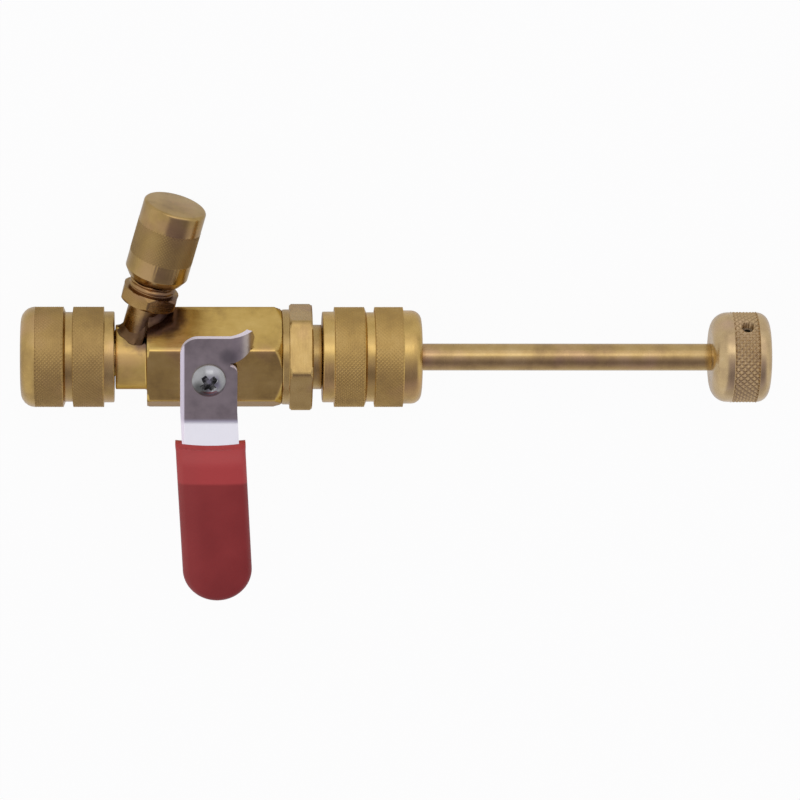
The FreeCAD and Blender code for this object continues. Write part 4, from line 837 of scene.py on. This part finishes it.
def braze(material, bar_piece):
    """Braze that runs round the port's neck where it enters the bar and the neck."""
    graph = bpy.context.evaluated_depsgraph_get()
    graph.update()
    neck = 4.15
    spread = 1.35
    climb = 1.3
    count = 120
    skin = 0.06
    sunk = 0.5
    look_from = 20.0
    look_reach = 19.0
    depth_if_missed = 4.0
    back = ON_PORT.inverted()

    def depth_at(radius, angle):
        """Station along the port at which the bar's metal begins."""
        high = ON_PORT @ (Vector(at_angle(look_from, radius, angle)) * MM)
        hit, place, _, _ = bar_piece.ray_cast(high, -PORT, distance=look_reach * MM)
        return (back @ place).x / MM if hit else depth_if_missed
    turns = full_turn(count)
    ripples = [0.12 * math.sin(5.0 * angle) + 0.08 * math.sin(11.0 * angle + 1.0) for angle in turns]
    inner_floors = [depth_at(neck, angle) for angle in turns]
    outer_floors = [depth_at(neck + spread + ripple, angle) for angle, ripple in zip(turns, ripples)]
    rows = []
    for angle, ripple, inner, outer, inner_floor, outer_floor in zip(
            turns, ripples, flowed(inner_floors), flowed(outer_floors), inner_floors, outer_floors):
        outer_radius = neck + spread + ripple
        row = []
        for share in (0.0, 0.15, 0.35, 0.6, 0.85, 1.0):
            radius = neck + (outer_radius - neck) * share
            base = inner + (outer - inner) * share + skin
            lift = (climb + ripple) * (1.0 - share) ** 2.2
            row.append(at_angle(base + lift, radius, angle))
        row.append(at_angle(outer_floor - sunk, outer_radius - 0.2, angle))
        row.append(at_angle(inner_floor - sunk, neck, angle))
        rows.append(row)
    points = [point for row in rows for point in row]
    size = len(rows[0])
    rings = [range(step * size, (step + 1) * size) for step in range(count)]
    faces = []
    for step, ring in enumerate(rings):
        faces += bridge(ring, rings[(step + 1) % count])
    return make_piece("braze", points, faces, ON_PORT, material)


# Lever, grip and screw, about the stem's axis; distances toward the tip are positive

LEVER_WIDE = 6.65
LEVER_TIP = 52.9
LEVER_LEAN = 2.1
LEVER_LEAN_START = 8.0
SHEET = 1.5
HEAD_END = 10.5
HEAD_CORNER = 4.2
FOOT = 10.9
RUN = 8.1
RISE = 5.0
SLOPE = math.atan2(RISE, RUN)
BEND = 2.2 + SHEET / 2.0
FLAP_START = 5.0
FLAP_TURN = math.radians(60.0)
FLAP_BEND = 4.5 + SHEET / 2.0
FLAP_LOW = 4.2
FLAP_STEPS = 12
FLAP_REACH = 5.0
FLAP_TAPER = 0.55
FLAP_CORNER = 5.2
FLAP_RISE = 0.8
SHOULDER_LOW = 1.6
SHOULDER_HIGH = 1.8
SHEET_EDGE = 0.4
BLADE_START = 9.0
OFFSET_END = 21.0
SCREW_HEAD = 2.5


def sheet_height(tipward):
    """Height of the sheet's middle above the lever's flat head, along the blade."""
    tangent = BEND * math.tan(SLOPE / 2.0)
    foot = FOOT - SHEET / 2.0 * math.tan(SLOPE / 2.0)
    crest = foot + RUN
    if tipward <= foot - tangent:
        return 0.0
    if tipward >= crest + tangent:
        return RISE
    if tipward <= foot + tangent * math.cos(SLOPE):
        along = tipward - (foot - tangent)
        return BEND - math.sqrt(BEND ** 2 - along ** 2)
    if tipward >= crest - tangent * math.cos(SLOPE):
        along = crest + tangent - tipward
        return RISE - BEND + math.sqrt(BEND ** 2 - along ** 2)
    return (tipward - foot) * math.tan(SLOPE)


def blade_middle(tipward):
    """Sideways place of the blade's middle, which leans toward the outlet."""
    straight_end = LEVER_TIP - LEVER_WIDE
    share = (tipward - LEVER_LEAN_START) / (straight_end - LEVER_LEAN_START)
    return LEVER_LEAN * min(max(share, 0.0), 1.0)


def lever(material):
    """The pressed sheet: a flat head with a rounded corner, the stop flap and the offset blade."""
    middle = lever_middle_height()
    work = bmesh.new()

    def add(aside, headward, height):
        return work.verts.new(Vector((aside, headward, middle + height)))
    left_arc = [add(HEAD_CORNER - LEVER_WIDE - HEAD_CORNER * math.cos(angle),
                    HEAD_END - HEAD_CORNER + HEAD_CORNER * math.sin(angle), 0.0)
                for angle in quarter_turn(10)]
    root = [add(FLAP_START, FLAP_LOW + (HEAD_END - FLAP_LOW) * step / FLAP_STEPS, 0.0)
            for step in range(FLAP_STEPS + 1)]
    shoulder = [add(FLAP_START + (LEVER_WIDE - FLAP_START) * math.cos(angle),
                    SHOULDER_LOW + SHOULDER_HIGH * math.sin(angle), 0.0)
                for angle in quarter_turn(8)]
    blade_left = [add(-LEVER_WIDE + blade_middle(BLADE_START), -BLADE_START, 0.0)]
    blade_right = [add(LEVER_WIDE + blade_middle(BLADE_START), -BLADE_START, 0.0)]
    lean_left = add(-LEVER_WIDE, -LEVER_LEAN_START, 0.0)
    lean_right = add(LEVER_WIDE, -LEVER_LEAN_START, 0.0)
    head = [blade_left[0], lean_left] + left_arc + list(reversed(root)) + list(reversed(shoulder))
    head += [lean_right, blade_right[0]]
    work.faces.new(head)
    straight_end = LEVER_TIP - LEVER_WIDE
    stations = [BLADE_START + 0.25 * step for step in range(1, 49)]
    stations += [OFFSET_END + (straight_end - OFFSET_END) * step / 8 for step in range(1, 9)]
    for tipward in stations:
        shift = blade_middle(tipward)
        height = sheet_height(tipward)
        blade_left.append(add(shift - LEVER_WIDE, -tipward, height))
        blade_right.append(add(shift + LEVER_WIDE, -tipward, height))
    for angle in quarter_turn(12)[1:-1]:
        tipward = straight_end + LEVER_WIDE * math.sin(angle)
        half = LEVER_WIDE * math.cos(angle)
        blade_left.append(add(LEVER_LEAN - half, -tipward, RISE))
        blade_right.append(add(LEVER_LEAN + half, -tipward, RISE))
    pairs = list(zip(blade_left, blade_right))
    for (left, right), (next_left, next_right) in zip(pairs, pairs[1:]):
        work.faces.new((left, next_left, next_right, right))
    tip = add(LEVER_LEAN, -LEVER_TIP, RISE)
    work.faces.new((blade_left[-1], tip, blade_right[-1]))
    flap_patch(work, add, root)
    bmesh.ops.recalc_face_normals(work, faces=work.faces)
    mesh = bpy.data.meshes.new("lever")
    work.to_mesh(mesh)
    work.free()
    return thicken("lever", mesh, material, ON_LEVER)


def lever_middle_height():
    """Height of the sheet's middle above the tool's axis, from the lever's flat head."""
    back = ON_LEVER.inverted()
    heights = [(back @ vertex.co).z / MM for vertex in frame["nodes"]["handle_screw"].data.vertices]
    return max(heights) - SCREW_HEAD - SHEET / 2.0


def flap_patch(work, add, root):
    """The stop flap beside the head: it bends down about a line along the blade."""
    across = 14
    rows = [root]
    count = len(root) - 1
    for step in range(1, across + 1):
        share = step / across
        row = []
        for place in range(count + 1):
            up = place / count
            edge_low = FLAP_LOW + FLAP_CORNER * (1.0 - math.sqrt(max(1.0 - share ** 1.8, 0.0))) ** 0.9
            edge_high = HEAD_END + FLAP_RISE * share
            outer = FLAP_REACH - FLAP_TAPER * up
            aside = FLAP_START + outer * share
            angle = math.asin(min((aside - FLAP_START) / FLAP_BEND, math.sin(FLAP_TURN)))
            drop = FLAP_BEND * (1.0 - math.cos(angle))
            past = max(aside - FLAP_START - FLAP_BEND * math.sin(FLAP_TURN), 0.0)
            drop += past * math.tan(FLAP_TURN)
            row.append(add(aside, edge_low + (edge_high - edge_low) * up, -drop))
        rows.append(row)
    for first, second in zip(rows, rows[1:]):
        for place in range(count):
            work.faces.new((first[place], second[place], second[place + 1], first[place + 1]))


def thicken(name, mesh, material, place):
    """Gives a sheet its thickness and rounded edges."""
    piece = put(name, mesh)
    solid = piece.modifiers.new("sheet", "SOLIDIFY")
    solid.thickness = SHEET
    solid.offset = 0.0
    solid.use_even_offset = True
    edge = piece.modifiers.new("edge", "BEVEL")
    edge.width = SHEET_EDGE
    edge.segments = 3
    edge.limit_method = "ANGLE"
    edge.angle_limit = math.radians(55.0)
    settle(piece)
    points = [tuple(vertex.co) for vertex in piece.data.vertices]
    faces = [tuple(face.vertices) for face in piece.data.polygons]
    bpy.data.objects.remove(piece)
    return make_piece(name, points, faces, place, material)


GRIP_START = 14.8
GRIP_WALL = 1.5
GRIP_ROUND = 1.7
GRIP_HOLLOW = 0.45
GRIP_SWELL = 0.4
SWELL_START = 19.0
SWELL_LENGTH = 4.6
GRIP_CROWN = ((7.2, 0.26), (5.4, 0.22), (3.4, 0.12))
LIP = 0.1
LIP_MIDDLE = 0.7
LIP_WIDTH = 0.6
SIDE_STEPS = 60
TIP_STEPS = 16
END_STEPS = 12


def swell(tipward):
    """Extra thickness of the sleeve's top, past the offset."""
    share = min(max((tipward - SWELL_START) / SWELL_LENGTH, 0.0), 1.0)
    return GRIP_SWELL * share


def grip(material):
    """Vinyl sleeve: a pillow round the blade, built of outlines that shrink as they rise."""
    middle = lever_middle_height()
    half_thick = SHEET / 2.0 + GRIP_WALL
    wide = LEVER_WIDE + GRIP_WALL
    straight_end = LEVER_TIP - LEVER_WIDE
    layers = []
    for angle in quarter_turn(7):
        inset = GRIP_ROUND * (1.0 - math.sin(angle))
        height = half_thick - GRIP_ROUND + GRIP_ROUND * math.cos(angle)
        layers.append((inset, height))
    crown = [(inset, half_thick + lift) for inset, lift in GRIP_CROWN]
    sole = [(inset, -half_thick) for inset, _ in reversed(crown)]
    profile = crown + layers + [(inset, -height) for inset, height in reversed(layers)] + sole

    def end_curve(aside):
        """How far the sleeve's end is hollowed toward the tip at a distance from its middle."""
        return GRIP_HOLLOW * (1.0 - (aside / wide) ** 2)

    def outline(inset, height):
        first = GRIP_START + min(inset, 0.6)
        start = first + end_curve(wide - inset)
        left = []
        right = []
        for step in range(SIDE_STEPS + 1):
            tipward = start + (straight_end - start) * step / SIDE_STEPS
            shift = blade_middle(tipward)
            lip = LIP * math.exp(-((tipward - GRIP_START - LIP_MIDDLE) / LIP_WIDTH) ** 2)
            lift = sheet_height(tipward) + height + math.copysign(lip, height)
            lift += swell(tipward) if height > 0.0 else 0.0
            left.append((shift - wide + inset - lip, -tipward, middle + lift))
            right.append((shift + wide - inset + lip, -tipward, middle + lift))
        level = middle + RISE + height + (swell(LEVER_TIP) if height > 0.0 else 0.0)
        for angle in quarter_turn(TIP_STEPS)[1:-1]:
            tipward = straight_end + (wide - inset) * math.sin(angle)
            half = (wide - inset) * math.cos(angle)
            left.append((LEVER_LEAN - half, -tipward, level))
            right.append((LEVER_LEAN + half, -tipward, level))
        tip = (LEVER_LEAN, -(straight_end + wide - inset), level)
        end = []
        for step in range(1, END_STEPS):
            share = step / END_STEPS
            aside = (wide - inset) * (1.0 - 2.0 * share)
            level = right[0][2] + (left[0][2] - right[0][2]) * share
            end.append((blade_middle(start) + aside, -(first + end_curve(aside)), level))
        return left + [tip] + right[::-1] + end
    points = []
    loops = []
    for inset, height in profile:
        loop = outline(inset, height)
        loops.append(range(len(points), len(points) + len(loop)))
        points += loop
    faces = []
    for low, high in zip(loops, loops[1:]):
        faces += bridge(low, high)
    for loop in (loops[0], loops[-1]):
        last = len(loop) - END_STEPS
        faces.append((*loop[last:], loop[0]))
        half = last // 2
        for index in range(half):
            if last - index - 1 == index + 1:
                faces.append((loop[index], loop[index + 1], loop[last - index]))
            else:
                faces.append((loop[index], loop[index + 1], loop[last - index - 1], loop[last - index]))
    return make_piece("grip", points, faces, ON_LEVER, material, soft_angle=50.0)


def lever_screw(material):
    """Pan head with a domed top and a tapered cross recess."""
    low, top, _ = reach("handle_screw", ON_STEM)
    head = 4.0
    dome = 2.0
    edge = 0.5
    bottom = top - dome - edge
    dome_radius = (dome ** 2 + head ** 2) / (2.0 * dome)
    wing = 0.62
    span = 2.15
    deep = 1.5
    turned = math.radians(38.0)
    around = 160
    rings = 44

    def recess(aside, across):
        """Depth of the cross recess: four wings whose floors slope up toward their ends."""
        depth = 0.0
        for along, side in ((aside, across), (across, aside)):
            inside = 1.0 - min(max((abs(side) - wing * 0.75) / (wing * 0.5), 0.0), 1.0)
            slope = min(max((span - abs(along)) / (span * 0.45), 0.0), 1.0)
            depth = max(depth, inside * slope * deep)
        return depth
    # The relief falls inside the recess, where the screw's steel is darker; the middle stays at 1.
    points = [(top - recess(0.0, 0.0), 0.0, 0.0)]
    undarkened = [1.0]
    for ring in range(1, rings + 1):
        radius = head * (ring / rings) ** 0.9
        height = top - dome_radius + math.sqrt(dome_radius ** 2 - radius ** 2)
        for angle in full_turn(around):
            depth = recess(radius * math.cos(angle), radius * math.sin(angle))
            points.append(at_angle(height - depth, radius, angle + turned))
            undarkened.append(1.0 if radius < 0.5 else 1.0 - min(depth / deep * 1.6, 1.0))
    for height, radius in ((bottom + 0.15, head), (bottom, head - 0.15), (bottom, 2.0), (low, 2.0)):
        points += [at_angle(height, radius, angle + turned) for angle in full_turn(around)]
    points.append((low, 0.0, 0.0))
    undarkened += [1.0] * (len(points) - len(undarkened))
    faces = []
    for step in range(around):
        following = (step + 1) % around
        faces.append((0, 1 + step, 1 + following))
        for ring in range(rings + 3):
            base = 1 + ring * around
            above = base + around
            faces.append((base + step, above + step, above + following, base + following))
        last = 1 + (rings + 3) * around
        faces.append((last + step, len(points) - 1, last + following))
    return make_piece("lever_screw", points, faces, ON_STEM, material, undarkened, 40.0)


# The object

TURNED = (7.0, 0.3, 0.3)
turned_brass = brass("turned_brass", 0.27, TURNED, 0.012, 0.5, (0.88, 0.88, 0.90))
nut_brass = brass("nut_brass", 0.27, TURNED, 0.010, 0.52, (1.0, 1.0, 0.98), knurled=True)
gland_nut_brass = brass("gland_nut_brass", 0.27, TURNED, 0.010, 0.52, (1.14, 1.14, 1.04), knurled=True)
knob_brass = brass("knob_brass", 0.24, TURNED, 0.010, 0.52, (1.14, 1.24, 1.8), knurled=True)
# Its patches are heat tarnish and the painted shadow of the port's neck and collar on the bar.
milled_brass = brass("milled_brass", 0.21, (0.25, 2.0, 2.0), 0.003, 0.5, (1.16, 1.16, 0.96), tarnish_and_shade=[
    ((33.8, 10.7, 3.0), 3.5, 6.6),
    ((28.6, 7.6, 4.6), 2.4, 5.4),
], grazing=(0.55, 0.44, 0.32))
# Its patches are heat tarnish and painted shade on the side of the neck and collar away from the side
# light.
port_brass = brass("port_brass", 0.25, (5.0, 0.4, 0.4), 0.010, 0.6, (0.72, 0.66, 0.66), tarnish_and_shade=[
    ((9.0, -3.6, 2.0), 4.4, 7.0),
    ((18.5, -4.5, 4.0), 2.0, 5.0),
], tarnish_and_shade_depth=0.62)
cap_brass = brass("cap_brass", 0.2, (5.0, 0.3, 0.3), 0.010, 0.52, (0.84, 0.84, 0.84), knurled=True)
rod_brass = brass("rod_brass", 0.22, (3.0, 0.3, 0.3), 0.006, 0.5, (0.98, 1.0, 1.12))
lever_steel = steel("lever_steel", (0.50, 0.445, 0.395), 0.30, (3.0, 0.4, 0.4), painted_lever_light=True)
screw_steel = steel("screw_steel", (0.42, 0.43, 0.42), 0.2)
red_vinyl = vinyl("red_vinyl")
# Its dark tint and patch are flux tarnish and painted shade at the neck's foot.
braze_metal = brass("braze_metal", 0.45, (1.5, 1.5, 1.5), 0.03, 0.6, (0.40, 0.35, 0.44), tarnish_and_shade=[
    ((9.0, -4.0, 0.0), 4.0, 9.0),
], tarnish_and_shade_depth=0.6)
dark_brass = plain("dark_brass", (0.16, 0.10, 0.06), 0.5, 1.0)
inner_brass = plain("inner_brass", BRASS, 0.3, 1.0)
ball_chrome = plain("ball_chrome", (0.78, 0.79, 0.80), 0.08, 1.0)
spring_steel = plain("spring_steel", (0.52, 0.51, 0.50), 0.3, 1.0)
seat_white = plain("seat_white", (0.86, 0.86, 0.83), 0.5)
black_rubber = plain("black_rubber", (0.018, 0.018, 0.018), 0.6)

dress(inlet_nut(nut_brass), "inlet_coupler", "brass", "inlet_nut")
dress(outlet_nut(gland_nut_brass), "outlet_coupler", "brass", "outlet_nut")
bar_piece = bar(milled_brass)
braze_piece = braze(braze_metal, bar_piece)
dress(bar_piece, "valve", "brass", "valve_body")
dress(braze_piece, "valve", "brass")
dress(adapter(turned_brass), "valve", "brass", "outlet_adapter")
dress(port_fitting(port_brass), "valve", "brass", "side_port_fitting")
dress(port_cap(cap_brass), "port_cap", "brass", "side_port_cap")
dress(push_rod(rod_brass), "plunger", "brass", "rod")
dress(knob(knob_brass, dark_brass), "plunger", "brass", "rod_knob")
dress(lever(lever_steel), "handle", "steel", "handle_lever")
dress(grip(red_vinyl), "handle", "red_vinyl", "handle_grip")
dress(lever_screw(screw_steel), "handle", "steel", "handle_screw")

CARRIED_OVER = (
    (ball_chrome, "ball"),
    (seat_white, "ball_seat_inlet", "ball_seat_outlet", "stem_thrust_washer", "port_core_seal"),
    (inner_brass, "valve_stem", "rod_gland", "core_gripper", "port_core_body", "port_core_pin"),
    (spring_steel, "port_core_spring", "inlet_retaining_ring", "rod_stop_ring", "gripper_magnet",
     "knob_pin"),
)
finishes = {name: finish for finish, *names in CARRIED_OVER for name in names}
for node_name, node in frame["nodes"].items():
    node.data.materials.clear()
    node.data.materials.append(finishes.get(node_name, black_rubber))


# Floor, light and camera

FLOOR_SIDE = 3.0
FLOOR_GLOW = 0.95
FLOOR_MIRRORED = 0.35


def floor():
    """A pale floor that stays white in the picture, keeps a soft shadow and is clear from below."""
    mesh = bpy.data.meshes.new("floor")
    level = CAD_BOX[0].z
    corners = [(along * FLOOR_SIDE, across * FLOOR_SIDE, level)
               for along, across in ((-1, -1), (1, -1), (1, 1), (-1, 1))]
    mesh.from_pydata(corners, [], [(0, 1, 2, 3)])
    piece = put("floor", mesh)
    shader = Shader("floor")
    shader.set(Base_Color=(0.86, 0.86, 0.86, 1.0), Roughness=0.8)
    glow = shader.add("Emission", {"Color": (1.0, 1.0, 1.0, 1.0)}).outputs[0]
    rays = shader.add("LightPath").outputs
    seen = shader.math("MULTIPLY", rays["Is Camera Ray"], FLOOR_GLOW)
    mirrored = shader.math("MULTIPLY", rays["Is Glossy Ray"], FLOOR_MIRRORED)
    share = shader.math("MAXIMUM", seen, mirrored)
    above = shader.add("MixShader", {0: share, 1: shader.surface.outputs[0], 2: glow}).outputs[0]
    turned_away = shader.add("NewGeometry").outputs["Backfacing"]
    behind = shader.math("MULTIPLY", rays["Is Camera Ray"], turned_away)
    clear = shader.add("BsdfTransparent").outputs[0]
    both = shader.add("MixShader", {0: behind, 1: above, 2: clear}).outputs[0]
    shader.feed(shader.output.inputs["Surface"], both)
    mesh.materials.append(shader.material)


SKY_BY_ANGLE = [(-180, 0.7), (-95, 0.65), (-75, 0.55), (-45, 0.38), (-22, 0.25), (-8, 0.27),
                (13, 0.42), (37, 0.76), (52, 1.02), (66, 1.0), (92, 0.92), (180, 0.7)]
BRIGHT_FROM = 0.5
BRIGHT_TINT = (0.96, 1.06)
DIM_TINT = (0.90, 1.22)
SIDE_LIGHT = (0.80, 0.78, 0.82)
INLET_SIDE = (-0.16, -0.36)
OUTLET_SIDE = (0.68, 0.96)


def sky():
    """Studio light by angle from overhead toward the port's side, brighter beyond the tool's ends."""
    world = bpy.data.worlds.new("studio")
    bpy.context.scene.world = world
    world.use_nodes = True
    nodes = Nodes(world.node_tree)
    place = nodes.add("TexCoord").outputs["Generated"]
    split = nodes.add("SeparateXYZ", {0: place}).outputs
    angle = nodes.math("ARCTAN2", split["Y"], split["Z"])
    turn = nodes.add("MapRange", {"Value": angle, "From Min": -math.pi, "From Max": math.pi})
    stops = []
    for degrees, value in SKY_BY_ANGLE:
        green, blue = BRIGHT_TINT if value > BRIGHT_FROM else DIM_TINT
        stops.append(((degrees + 180.0) / 360.0, (value, value * green, value * blue)))
    overhead = nodes.ramp(turn.outputs[0], stops)
    ends = [nodes.band(split["X"], dark, bright) for dark, bright in (INLET_SIDE, OUTLET_SIDE)]
    colour = nodes.mix(nodes.math("MAXIMUM", *ends), overhead, SIDE_LIGHT)
    light = nodes.add("Background", {"Color": colour})
    nodes.add("OutputWorld", {"Surface": light.outputs[0]})


def lamp(name, place, target, side, power):
    """A rectangular area lamp that points at a target."""
    data = bpy.data.lights.new(name, "AREA")
    data.shape = "RECTANGLE"
    data.size = side[0]
    data.size_y = side[1]
    data.energy = power
    item = put(name, data)
    item.location = place
    item.rotation_mode = "QUATERNION"
    item.rotation_quaternion = (Vector(target) - Vector(place)).to_track_quat("-Z", "Y")


PIXELS_PER_MM = 4.24
PICTURE_WIDTH = 800.0
PICTURE_MIDDLE = 400.0
TOOL_START_X = 22.0
TOOL_AXIS_Y = 357.0
CAMERA_TILT = math.radians(24.0)
CAMERA_DISTANCE = 1.1
CAMERA_STATION = 0.035


def camera():
    """Looks at the tool as the photograph does: from the port's side of the stem, a little inlet-ward."""
    toward = STEM * math.cos(CAMERA_TILT) + ASIDE * math.sin(CAMERA_TILT)
    picture_up = ASIDE * math.cos(CAMERA_TILT) - STEM * math.sin(CAMERA_TILT)
    middle = ALONG * ((PICTURE_MIDDLE - TOOL_START_X) / PIXELS_PER_MM * MM)
    middle += picture_up * ((TOOL_AXIS_Y - PICTURE_MIDDLE) / PIXELS_PER_MM * MM)
    eye = middle + toward * CAMERA_DISTANCE
    eye.x = CAMERA_STATION
    back = (eye - middle).normalized()
    right = picture_up.cross(back).normalized()
    up = back.cross(right)
    data = bpy.data.cameras.new("camera")
    item = put("camera", data)
    place = Matrix((right, up, back)).transposed().to_4x4()
    place.translation = eye
    item.matrix_world = place
    data.sensor_fit = "HORIZONTAL"
    data.sensor_width = 36.0
    seen_width = PICTURE_WIDTH / PIXELS_PER_MM * MM
    data.lens = data.sensor_width * (eye - middle).length / seen_width
    data.clip_start = 0.05
    data.clip_end = 20.0
    bpy.context.scene.camera = item


floor()
sky()
camera()
lamp("key", (0.09, 0.62, 0.50), (0.09, 0.0, 0.0), (0.55, 0.30), 0.22)
bpy.context.scene.view_settings.view_transform = "Standard"
